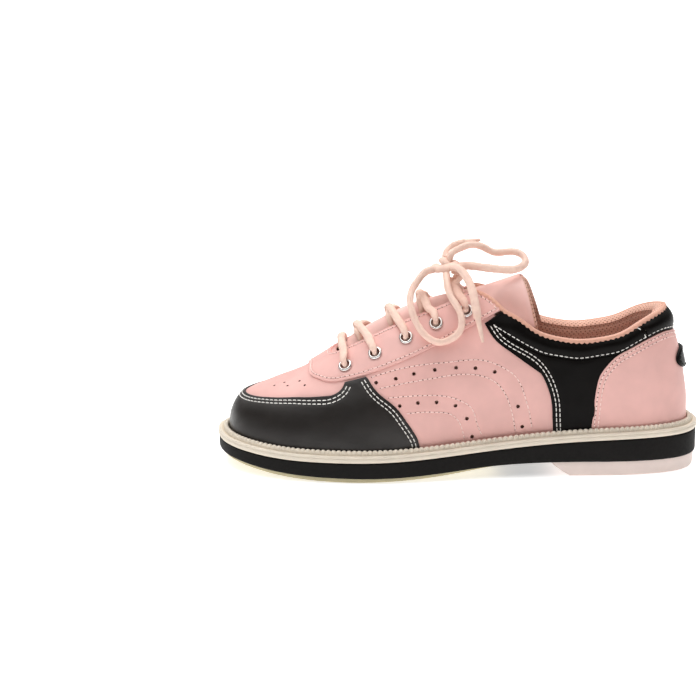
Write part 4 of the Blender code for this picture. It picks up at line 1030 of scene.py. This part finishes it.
def make_threaded_lace():
    """The lace through all ten eyelets, from the knot and back to it."""
    middle = [(skin(EYELETS[0][0] + .010, 1.0, 2.4), LACE_RADIUS)]
    keys = half_lace(-1)[::-1] + half_bar(-1) + middle + half_bar(1)[::-1] + half_lace(1)
    braided("lace_threaded", [point for point, radius in keys], np.array([radius for point, radius in keys]),
            stands_for=("lace",), hint=away_from_foot, flat=0.86)


def make_knot():
    """The bow's knot: the roots of its loops and ends cross inside two wraps of the lace."""
    for name, first, last, lift in (("knot_loops", REAR_STOP, SIDE_STOP, (.3, -1.4, .5)),
                                    ("knot_roots", REAR_START, SIDE_START, (-.5, -1.0, -.4)),
                                    ("knot_ends", LATERAL_START, MEDIAL_START, (1.2, 0.2, .6))):
        route = [knot_exit(first, 1.0), knot_exit(first, -1.6), KNOT + np.array(lift), knot_exit(last, -1.6),
                 knot_exit(last, 1.0)]
        braided(name, route, np.full(len(route), 1.95))
    turns = np.linspace(.80 * np.pi, 2.25 * np.pi, 13)
    wrap = [KNOT + [5.4 * math.cos(t) - .6, 4.2 * math.sin(t), 1.0 * math.cos(t) + .4] for t in turns]
    braided("knot_wrap", wrap, np.full(len(wrap), 2.5), stands_for=("lace_knot",))
    turns = np.linspace(1.15 * np.pi, 2.70 * np.pi, 13)
    wrap = [KNOT + [3.4 * math.cos(t) + .6, 3.4 * math.sin(t) + .6, 2.2 - 2.6 * math.cos(t)] for t in turns]
    braided("knot_cross", wrap, np.full(len(wrap), 2.0))


# ---------------------------------------------------------------- upper

def make_toe_cap():
    """The toe cap, with two white rows inside its top edge and inside its rear edges."""
    foot = (CAP_REAR[0][0], FOOT_HEIGHT)
    bottom = [(0, FOOT_HEIGHT), (-.15, FOOT_HEIGHT), (-.30, FOOT_HEIGHT), foot]
    rear = [(CAP_REAR[0][0] - .001, FOOT_HEIGHT)] + CAP_REAR[1:]
    grid = both_sides(fill(bottom, CAP_TOP, [(0, FOOT_HEIGHT), CAP_TOP[0]],
                           dense(rear, [CAP_REAR[-1], CAP_TOP[-1]]), CELL), "toe")
    rows = []
    for lead in ROW_PLACES:
        rows.append(stitch_row(toe_joined(inset(dense(CAP_TOP), -lead, 0, 1.0))))
        line = inset(dense(rear), lead, 3.0, 1.0)
        rows += [stitch_row(on_side(sign, line)) for side, sign in SIDES]
    panel("toe_cap_leather", grid, OVERLAY, toe_black, ("toe_cap",), rows)
    make_stitches("toe_cap_stitches", rows)


def make_vamp():
    """The vamp, with its small perforations."""
    rear = dense([(-.36, .30), (-.36, .54)], [(-.36, .54), (-.325, .80)], [(-.325, .80), (-.300, 1)])
    grid = fill([(0, .30), (-.36, .30)], [(0, 1), (-.300, 1)], [(0, .30), (0, 1)], rear, CELL)
    grid = both_sides(grid, "toe")
    vamp = panel("vamp_leather", grid, UNDERLAY, pink, ("vamp",), press=0, over_ridge=True)
    places = [(skin(q * sign, h), outward(q * sign, h)) for q, h in VAMP_HOLES for side, sign in SIDES]
    # The perforations' walls take painted shade, dark like the inside of a hole.
    punch(vamp, places, VAMP_HOLE_RADIUS, hole_painted_shade)


def make_side_panel(side, sign):
    """A side panel, with its bands of pink stitches and its perforations."""
    top = shift(cut(STAY_LOWER, -.345, -.545), dh=.035)
    rear = [(-.645, FOOT_HEIGHT)] + shift(QUARTER_FRONT[1:], dq=-.016)[:-1] + [(-.552, .49), top[-1]]
    grid = on_side(sign, fill([(-.40, FOOT_HEIGHT), (-.645, FOOT_HEIGHT)], top,
                              [(-.40, FOOT_HEIGHT), (-.365, .25), top[0]], rear, CELL))
    rows = [stitch_row(on_side(sign, dense(band)), UNDERLAY - .08, PINK_PITCH) for band in BANDS]
    piece = panel(f"side_panel_{side}_leather", grid, UNDERLAY, pink, (f"side_panel_{side}",),
                  rows, press=0)
    places = [(skin(q * sign, h), outward(q * sign, h)) for q, h in SIDE_HOLES]
    # The perforations' walls take painted shade, dark like the inside of a hole.
    punch(piece, places, SIDE_HOLE_RADIUS, hole_painted_shade)
    make_stitches(f"band_stitches_{side}", rows, pink_thread, PINK_THREAD_RADIUS)
    make_needle_holes(f"band_needle_holes_{side}", rows, 0.38)


def make_quarter(side, sign):
    """A black quarter, with two white rows inside its front edge. Its rear dips under the heel cover."""
    top = cut(COLLAR_LOWER, -.534, -.752)
    rear = [(HEEL_COVER_FRONT[0][0] - .014, FOOT_HEIGHT)] + shift(HEEL_COVER_FRONT[1:-1], dq=-.014)
    rear.append(top[-1])
    front = [(QUARTER_FRONT[0][0] - .001, FOOT_HEIGHT)] + QUARTER_FRONT[1:-1] + [top[0]]
    grid = on_side(sign, fill([front[0], rear[0]], top, front, rear, CELL))
    rows = [stitch_row(on_side(sign, inset(dense(front), -lead, 3.0, 4.0))) for lead in ROW_PLACES]
    depth = -.55 * smooth((np.abs(grid[..., 0]) - .675) / .03)
    panel(f"quarter_{side}_leather", grid, depth, black, (f"quarter_{side}",), rows,
          press=.2)
    make_stitches(f"quarter_stitches_{side}", rows)


def make_eyestay():
    """The eyestay: one piece round the throat, with pink rows inside its edges, pressed round its eyelets."""
    grid = both_sides(fill(STAY_LOWER, THROAT, [STAY_LOWER[0], THROAT[0]], STAY_TOP[::-1], CELL), "toe")
    lines = [toe_joined(inset(dense(STAY_LOWER), STAY_ROW_PLACE, 0, 2.0)),
             toe_joined(inset(dense(THROAT), -STAY_ROW_PLACE, 0, 2.0))]
    rear = inset(dense(STAY_TOP[::-1]), STAY_ROW_PLACE, 2.0, 2.0)
    lines += [on_side(sign, rear) for side, sign in SIDES]
    rows = [stitch_row(line, pitch=PINK_PITCH) for line in lines]
    places = [eyelet_place(sign, index) for side, sign in SIDES for index in range(len(EYELETS))]
    stay = panel("eyestay_leather", grid, OVERLAY, pink,
                 ("eyestay_lateral", "eyestay_medial"), rows, press=.1,
                 rings=[(place, 3.6) for place, normal in places])
    punch(stay, places, EYELET_HOLE_RADIUS)
    make_stitches("eyestay_stitches", rows, pink_thread, PINK_THREAD_RADIUS)
    make_needle_holes("eyestay_needle_holes", rows, 0.36)


def collar_swell(grid, reach=1.5, flat_front=14.0):
    """Padding pushes the collar out between its lower seam and the topline, but not at its front end."""
    points = form(grid[..., 0], grid[..., 1])
    across = across_run(points)
    share = across / across[:, -1:]
    along = run_length(points)
    return reach * np.sin(np.pi * share) ** 1.2 * smooth((along + .01) / flat_front)


def make_collar(side, sign):
    """A padded collar side, with a white row along its lower seam and a short one where the tab joins it."""
    low = cut(COLLAR_LOWER, -.534, -.806)
    high = cut(TOPLINE, -.557, -.786)
    rear = [low[-1]] + TAB_SEAM[1:-1] + [high[-1]]
    grid = on_side(sign, fill(low, high, [low[0], high[0]], rear, CELL))
    row = stitch_row(on_side(sign, inset(dense(low), COLLAR_ROW_PLACE, 4.5, 0)), COLLAR_SEAM_DEPTH)
    seam = stitch_row(on_side(sign, inset(dense(TAB_SEAM), COLLAR_ROW_PLACE)), .9, JOIN_PITCH)
    panel(f"collar_{side}_leather", grid, collar_swell(grid), black, (f"collar_{side}",),
          [row], press=.2, uneven=1.6)
    make_stitches(f"collar_stitches_{side}", [row, seam])


def make_heel_cover():
    """The heel cover, with a double pink row inside its front and top edges."""
    top = shift(cut(COLLAR_LOWER, -.747, -1), dh=-.003)
    front = [(HEEL_COVER_FRONT[0][0] - .001, FOOT_HEIGHT)] + HEEL_COVER_FRONT[1:-1] + [top[0]]
    grid = fill([front[0], (-1, FOOT_HEIGHT)], top, front, [(-1, FOOT_HEIGHT), top[-1]], CELL)
    grid = both_sides(grid, "heel")
    rows = [stitch_row(heel_joined(inset(dense(front, top), -lead, 3.0, 0)), pitch=COVER_PITCH)
            for lead in COVER_ROW_PLACES]
    panel("heel_cover_leather", grid, OVERLAY, pink, ("heel_cover",), rows)
    make_stitches("heel_cover_stitches", rows, pink_thread, PINK_THREAD_RADIUS)
    make_needle_holes("heel_cover_needle_holes", rows, 0.38)


def make_collar_back():
    """The padded black tab at the back of the collar, with a white row along its lower seam."""
    low = cut(COLLAR_LOWER, -.808, -1)
    top = cut(TOPLINE, -.788, -1)
    front = [low[0]] + shift(TAB_SEAM[1:-1], -.002) + [top[0]]
    grid = both_sides(fill(low, top, front, [low[-1], top[-1]], CELL), "heel")
    row = stitch_row(heel_joined(inset(dense(low), COLLAR_ROW_PLACE)), COLLAR_SEAM_DEPTH)
    panel("collar_back_leather", grid, collar_swell(grid, 1.7, .01), black, ("collar_back",),
          [row], press=.2, uneven=1.6)
    make_stitches("collar_back_stitches", [row])


# ---------------------------------------------------------------- linings and topline binding

def lining_depth(grid):
    """The lining lies deeper under the toe cap and inside the padded collar."""
    q = -np.abs(grid[..., 0])
    h = grid[..., 1]
    toe = 1 - smooth((-q - .21) / .10)
    collar = smooth((h - line_at(COLLAR_LOWER, q) + .12) / .085) * smooth((-q - .535) / .045)
    return (LINING_DEPTH + (TOE_LINING_DEPTH - LINING_DEPTH) * toe
            + (COLLAR_LINING_DEPTH - LINING_DEPTH) * collar)


def make_linings():
    """The mesh lining, in a front and a back part, with holes where the eyelets come through."""
    split = -.409
    throat = [(-.285, 1)] + shift(cut(THROAT, -.300, split), dh=-.015)
    front = both_sides(fill([(0, 0), (split, 0)], dense([(0, 1), (-.285, 1)], throat), [(0, 0), (0, 1)],
                            [(split, 0), throat[-1]], 2.2), "toe")
    start = split - .0006
    throat = shift(cut(THROAT, start, -.516), dh=-.015)
    back = both_sides(fill([(start, 0), (-1, 0)], dense(throat, [throat[-1]] + STAY_TOP[1:], TOPLINE),
                           [(start, 0), throat[0]], [(-1, 0), TOPLINE[-1]], 1.6), "heel")
    for node, grid, over_ridge, eyelets in (("vamp_lining", front, True, range(0, 2)),
                                            ("collar_lining", back, False, range(2, 5))):
        piece = panel(node + "_fabric", grid, lining_depth(grid), lining_mesh, (node,),
                      press=0, uneven=0, over_ridge=over_ridge, thickness=LINING)
        punch(piece, [eyelet_place(sign, index, -3.5) for side, sign in SIDES for index in eyelets],
              LINING_HOLE_RADIUS)


def smoothed(rows, times):
    for _ in range(times):
        rows[1:-1] = (rows[:-2] + 2 * rows[1:-1] + rows[2:]) / 4
    return rows


def make_binding():
    """The peach hem over the collar's edge, notched by its stitches, and the padded lining inside it."""
    line = dense(cut(STAY_TOP, -.521, -.557), TOPLINE)
    line = np.vstack([line, (mirrored(line) - [2.0, 0.0])[::-1][1:]])
    total = run_length(form(line[:, 0], line[:, 1]))[-1]
    line = resampled(line, np.linspace(0, 1, int(total / .48)), SHAPE_SCALE)
    base = smoothed(form(line[:, 0], line[:, 1]), 40)
    normal = smoothed(outward(line[:, 0], line[:, 1]), 40)
    along = np.gradient(base, axis=0)
    along /= np.linalg.norm(along, axis=1, keepdims=True)
    up = np.cross(normal, along)
    up *= np.sign(up[len(up) // 2, 2]) / np.linalg.norm(up, axis=1, keepdims=True)
    run = run_length(base)
    between = 1 - np.abs(np.sin(np.pi * run / BINDING_NOTCH_PITCH))[:, None] ** 1.5
    rows, columns = len(run), len(BINDING_SECTION)
    out = np.repeat(BINDING_SECTION[None, :, 0], rows, 0)
    rise = np.repeat(BINDING_SECTION[None, :, 1], rows, 0)
    rise[:, :4] += between * np.array([.8, .8, .6, .3])
    out[:, 1:5] -= between * np.array([.15, .3, .3, .1])
    ends = smooth(np.minimum(run, run[-1] - run) / 9)[:, None]
    out = np.where(out < 0, out * (.35 + .65 * ends), out)
    points = base[:, None] + out[..., None] * normal[:, None] + rise[..., None] * up[:, None]
    faces = tube_faces(rows, columns)
    which = [int(index % columns >= BINDING_HEM) for index in range(len(faces) - 2)] + [0, 0]
    uv = np.stack([np.repeat(run[:, None], columns, 1),
                   np.repeat(run_length(BINDING_SECTION)[None], rows, 0)], -1)
    show("topline_binding_fabric", points.reshape(-1, 3), faces, [binding_fabric, lining_mesh],
         ("topline_binding",), sharp=70, uv=uv.reshape(-1, 2), which=which)


# ---------------------------------------------------------------- tongue

tongue_crest = profile((-.60, -6.3), (-.585, -6.2), (-.56, -5.8), (-.53, -5.0), (-.50, -3.2), (-.44, 0.2),
                       (-.38, 0.4), (-.345, -0.4), (-.325, -3.0), (-.31, -5.6), (-.30, -7.0))
tongue_side = profile((-.60, -5.8), (-.56, -5.8), (-.535, -6.6), (-.51, -8.0), (-.44, -8.4), (-.30, -8.4))


def tongue_grid(rows, columns, grow=0.0):
    """A grid over the tongue, from its base to its top edge and from one wing's edge to the other's."""
    along = np.linspace(0, 1 + grow * .3, rows)[:, None]
    across = np.linspace(-1 - grow, 1 + grow, columns)[None, :]
    q = TONGUE_BASE + (TONGUE_TOP - TONGUE_BASE) * along * (1 + .070 * along ** 4 * np.abs(across) ** 1.6)
    side_height = np.interp(-q, [.30, .36, .50, .54, .57, .60], [.70, .62, .60, .56, .47, .40])
    h = 1 - (1 - side_height) * np.abs(across)
    return np.stack([np.where(across < 0, q, -q), h], -1)


def tongue_sink(grid):
    """How much deeper the tongue's wings go where they pass inside the padded collar."""
    q = -np.abs(grid[..., 0])
    over_topline = grid[..., 1] - line_at(TOPLINE, q)
    return TONGUE_WING_SINK * smooth((.26 - over_topline) / .22) * smooth((-q - .530) / .04)


def tongue_depth(grid):
    """The tongue's outer face: a dome under the ridge, and wings that go in under the facings."""
    q = -np.abs(grid[..., 0])
    dome = smooth((grid[..., 1] - .78) / .22)
    return tongue_side(q) + (tongue_crest(q) - tongue_side(q)) * dome - tongue_sink(grid)


def tongue_floor(grid):
    """The tongue's inner face, without the dome, before its padding is taken off."""
    q = -np.abs(grid[..., 0])
    return np.minimum(tongue_side(q), tongue_crest(q)) - tongue_sink(grid)


def tongue_direction(grid):
    q, h = grid[..., 0], grid[..., 1]
    turn = np.clip((h - .70) / .30, 0, 1)[..., None]
    direction = outward(q, np.minimum(h, .70)) * (1 - turn) + outward(q, np.ones_like(h)) * turn
    return direction / np.linalg.norm(direction, axis=-1, keepdims=True)


def tongue_shell(name, grid, outer, inner, surface, stands_for, rounding):
    """A closed body between two depths of the tongue, with round edges."""
    base = form(grid[..., 0], grid[..., 1])
    direction = tongue_direction(grid)
    border = edge_distance(base + direction * outer[..., None])
    taper = 1 - np.sqrt(1 - (1 - np.clip(border / rounding, 0, 1)) ** 2)
    top = outer - taper * rounding
    low = inner + taper * min(rounding, .45 * float(np.mean(outer - inner)))
    points = [base + direction * depth[..., None] for depth in (top, np.minimum(low, top - .15))]
    show(name, np.vstack([p.reshape(-1, 3) for p in points]), np.vstack(shell_faces(*grid.shape[:2])),
         surface, stands_for, "tongue", 60, np.vstack([grid_uv(points[0])] * 2))


def make_tongue():
    """The tongue's leather face, in a lighter copy of the pink leather as painted light, and its padding with
    the mesh lining over it.
    """
    face = tongue_grid(110, 64)
    depth = tongue_depth(face)
    tongue_shell("tongue_leather", face, depth, depth - TONGUE_LEATHER, tongue_pink_painted_light,
                 ("tongue_face",), .6)
    core = tongue_grid(90, 52, .035)
    inner = tongue_floor(core) - TONGUE_PADDING + .7 * tongue_sink(core)
    tongue_shell("tongue_padding", core, tongue_depth(core) - TONGUE_LEATHER - .05, inner, lining_mesh,
                 ("tongue_foam", "tongue_lining"), 1.6)


# ---------------------------------------------------------------- eyelets and badge

def make_eyelets():
    """The ten rolled metal eyelets."""
    around = 32
    turns = np.linspace(0, 2 * np.pi, around, endpoint=False)
    out, rise = EYELET_SECTION[:, 0, None], EYELET_SECTION[:, 1, None]
    ring = np.stack([out * np.cos(turns), out * np.sin(turns), rise + 0 * turns], -1).reshape(-1, 3)
    faces = tube_faces(len(EYELET_SECTION), around, end="joined")
    for side, sign in SIDES:
        for index in range(len(EYELETS)):
            place, normal = eyelet_place(sign, index)
            turn = Vector((0, 0, 1)).rotation_difference(Vector(normal)).to_matrix()
            show(f"eyelet_ring_{side}_{index + 1}", ring @ np.array(turn).T + place, faces, metal,
                 (f"eyelet_{side}_{index + 1}",), sharp=60)


def height_at(q, level):
    """The height on each station's side line that lies at this level, in millimetres above the ground."""
    h = np.full(np.shape(q), .25)
    for _ in range(6):
        slope = (form(q, h + .01)[..., 2] - form(q, h - .01)[..., 2]) / .02
        h = h + (level - form(q, h)[..., 2]) / slope
    return h


def make_badge():
    """A plain padded oval of black leather at the back of the heel, with a black row inside its edge."""
    stations = np.linspace(.80, 1.20, 161)
    row = form(stations, BADGE_HEIGHT)
    run = run_length(row)
    middle = len(stations) // 2

    def on_heel(turns, wide, tall):
        q = np.interp(wide * np.cos(turns) * BADGE_HALF_WIDTH + run[middle], run, stations)
        return q, height_at(q, row[middle, 2] + tall * np.sin(turns) * BADGE_HALF_HEIGHT)

    shares = np.array([0.001, .2, .4, .6, .75, .86, .93, .98, 1.0, 1.0])[:, None]
    lift = np.array([1.5, 1.48, 1.45, 1.4, 1.3, 1.3, 1.25, 1.0, .6, .0])[:, None]
    around = 64
    q, h = on_heel(np.linspace(0, 2 * np.pi, around, endpoint=False), shares, shares)
    points = skin(q, h, GAP + lift + 0 * q)
    show("heel_badge_leather", points.reshape(-1, 3), tube_faces(len(shares), around), black,
         ("heel_badge",), sharp=60)
    line = np.column_stack(on_heel(np.linspace(0, 2 * np.pi, 200), .84, .80))
    make_stitches("heel_badge_stitches", [stitch_row(line, GAP + 1.45, COVER_PITCH)], black, 0.22)


# ---------------------------------------------------------------- sole

def make_welt():
    """The storm welt: a flat ledge, a groove, and a crimped rib that stands against the upper."""
    fine = np.linspace(-1, 1, 4001)
    run = run_length(outline(fine))
    count = int(round(run[-1] / CRIMP_PITCH)) * CRIMP_STEPS
    q = np.interp(np.linspace(0, run[-1], count, endpoint=False), run, fine)
    crimp = np.abs(np.sin(np.pi * np.arange(count) / CRIMP_STEPS)) ** .7
    rings = []
    for lead, rise, share in WELT_SECTION:
        xy = outline(q, lead - .35 * share * (crimp - .4))
        rings.append(np.column_stack([xy, sole_top(xy[:, 0]) + rise + share * (crimp - .72)]))
    show("welt_rib", np.vstack(rings), tube_faces(len(rings), count, end="joined"), welt_rubber,
         ("welt",), sharp=65)


def sole_layer(name, last, levels, surface, stands_for):
    """A sole piece from the toe to a last station, as a stack of outlines with rows of faces across its top
    and underside. levels are (inset, height function) from its top to its underside."""
    count, columns = 150, 8
    low, high = .002, min(last, .998)
    half = low + (high - low) * (1 - np.cos(np.linspace(0, np.pi, count))) / 2
    q = np.concatenate([-half, half[::-1]])
    rings = []
    for lead, height in levels:
        xy = outline(q, lead)
        rings.append(np.column_stack([xy, height(xy[:, 0])]))
    size = 2 * count
    faces = tube_faces(len(levels), size, end="open")
    share = np.linspace(0, 1, columns + 1)[1:-1, None]
    points = np.vstack(rings)
    for level in (0, len(levels) - 1):
        left, right = rings[level][:count, None], rings[level][:count - 1:-1, None]
        inner = np.arange(len(points), len(points) + count * (columns - 1)).reshape(count, -1)
        index = np.column_stack([level * size + np.arange(count), inner,
                                 level * size + size - 1 - np.arange(count)])
        faces += [tuple(index.ravel()[quad]) for quad in grid_faces(count, columns + 1)]
        points = np.vstack([points, (left * (1 - share) + right * share).reshape(-1, 3)])
    show(name, points, faces, surface, stands_for, sharp=50, uv=points[:, :2])


def above(base, extra):
    return lambda x: base(x) + extra


def make_sole():
    """The midsole, the slide pad under the forefoot, and the sock liner on the insole."""
    sole_layer("midsole_side", 1,
               [(3.0, sole_top), (.75, above(sole_top, -.02)), (.45, above(sole_top, -.25)),
                (.40, above(sole_top, -1.0)), (.42, above(sole_bottom, .9)), (.55, sole_bottom),
                (.9, above(sole_bottom, -.38)), (3.0, above(sole_bottom, -.4))],
               midsole_rubber, ("midsole",))
    sole_layer("slide_pad_face", float(station(PAD_END)),
               [(2.4, above(sole_bottom, -.45)), (2.3, above(sole_bottom, -.7)), (2.5, above(pad_bottom, .4)),
                (3.0, pad_bottom), (5.0, pad_bottom)], pad_felt, ("slide_pad",))
    sole_layer("sock_liner_cloth", 1,
               [(INSOLE_INSET + 2.5, above(sole_top, SOCK_TOP)),
                (INSOLE_INSET + .6, above(sole_top, SOCK_TOP - .1)),
                (INSOLE_INSET, above(sole_top, SOCK_TOP - .7)),
                (INSOLE_INSET, above(sole_top, SOCK_BOTTOM))],
               sock_fabric, ("sock_liner",))


def make_heel():
    """The heel block: its breast slopes back as it goes down, in a soft curve."""
    count = 120
    top_levels = [(1.5, -.15, 0), (1.4, -.6, .02), (1.5, -2.5, .18)]
    base_levels = [(1.7, 2.6, .62), (1.95, 1.0, .88), (2.3, .25, .98), (3.0, 0, 1.0)]
    rings = []
    for index, (lead, offset, share) in enumerate(top_levels + base_levels):
        low = float(station(HEEL_TOP_START + (HEEL_BASE_START - HEEL_TOP_START) * share))
        half = low + (.998 - low) * np.sin(np.linspace(0, np.pi / 2, count))
        xy = outline(np.concatenate([-half, half[::-1]]), lead)
        level = sole_bottom(xy[:, 0]) if index < len(top_levels) else 0 * xy[:, 0]
        rings.append(np.column_stack([xy, level + offset]))
    size = 2 * count
    faces = tube_faces(len(rings), size, end="open")
    for start in (0, (len(rings) - 1) * size):
        faces += [(start + i, start + i + 1, start + size - 2 - i, start + size - 1 - i)
                  for i in range(count - 1)]
    show("heel_block", np.vstack(rings), faces, heel_rubber, ("heel",), sharp=50)


# ---------------------------------------------------------------- camera, floor and light

def make_camera():
    back = Vector((0, -math.cos(ELEVATION), math.sin(ELEVATION)))
    right = Vector((1, 0, 0))
    up = back.cross(right)
    camera = bpy.data.objects.new("camera", bpy.data.cameras.new("camera"))
    target = Vector(((TARGET_FROM_TOE - ORIGIN) * MM).tolist())
    camera.location = target + back * CAMERA_DISTANCE + right * CAMERA_RIGHT + up * CAMERA_UP
    camera.rotation_mode = "QUATERNION"
    camera.rotation_quaternion = (-back).to_track_quat("-Z", "Y")
    camera.data.lens = CAMERA_LENS
    camera.data.sensor_width = 36
    camera.data.clip_start = 0.05
    bpy.context.scene.collection.objects.link(camera)
    bpy.context.scene.camera = camera


def make_floor():
    mesh = bpy.data.meshes.new("floor")
    corners = [(x * FLOOR_SIZE, y * FLOOR_SIZE, 0) for x, y in ((-1, -1), (1, -1), (1, 1), (-1, 1))]
    mesh.from_pydata(corners, [], [(0, 1, 2, 3)])
    surface = plain_grained("floor_white", (0.93, 0.93, 0.93), 0.9, 40, 0.00001, 0.004)
    glow = surface.node_tree.nodes["Principled BSDF"].inputs
    glow["Emission Color"].default_value = (1, 1, 1, 1)
    glow["Emission Strength"].default_value = FLOOR_GLOW
    mesh.materials.append(surface)
    floor = bpy.data.objects.new("floor", mesh)
    bpy.context.scene.collection.objects.link(floor)


def make_lights():
    """A sky that is bright overhead and dim at the sides, and two area lights."""
    world = bpy.data.worlds.new("studio")
    world.use_nodes = True
    sky = world.node_tree
    direction = add(sky, "TexCoord").outputs["Generated"]
    overhead = add(sky, "VectorMath", {0: direction, 1: SKY_AXIS}, operation="DOT_PRODUCT").outputs["Value"]
    dome = add(sky, "MapRange", {"Value": overhead, "From Min": SKY_START, "From Max": SKY_END,
                                 "To Min": SKY_LOW, "To Max": SKY_HIGH},
               interpolation_type="SMOOTHSTEP").outputs[0]
    background = sky.nodes["Background"]
    background.inputs["Color"].default_value = SKY_COLOUR
    sky.links.new(dome, background.inputs["Strength"])
    bpy.context.scene.world = world
    for name, place, size, power in STUDIO_LIGHTS:
        light = bpy.data.objects.new(name, bpy.data.lights.new(name, "AREA"))
        light.data.shape = "RECTANGLE"
        light.data.size, light.data.size_y = size
        light.data.energy = power
        light.location = place
        light.rotation_mode = "QUATERNION"
        light.rotation_quaternion = (LIGHT_TARGET - Vector(place)).to_track_quat("-Z", "Y")
        bpy.context.scene.collection.objects.link(light)
    bpy.context.scene.view_settings.view_transform = "Standard"


# ---------------------------------------------------------------- CAD pieces that stay as they are

def dress_kept_pieces():
    for node, surface in {"insole_board": board_fibre, "sole_filler": cork_mix, "shank": shank_steel,
                          "toe_puff": board_fibre, "heel_counter": board_fibre, "collar_foam": foam_cells,
                          "facing_backing_lateral": foam_cells, "facing_backing_medial": foam_cells}.items():
        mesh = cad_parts[node].data
        mesh.materials.clear()
        mesh.materials.append(surface)


# ---------------------------------------------------------------- the making

make_camera()
make_cords()
make_threaded_lace()
make_knot()
make_toe_cap()
make_vamp()
for side, sign in SIDES:
    make_side_panel(side, sign)
    make_quarter(side, sign)
make_eyestay()
for side, sign in SIDES:
    make_collar(side, sign)
make_heel_cover()
make_collar_back()
make_linings()
make_binding()
make_tongue()
make_eyelets()
make_badge()
make_welt()
make_sole()
make_heel()
dress_kept_pieces()
make_floor()
make_lights()
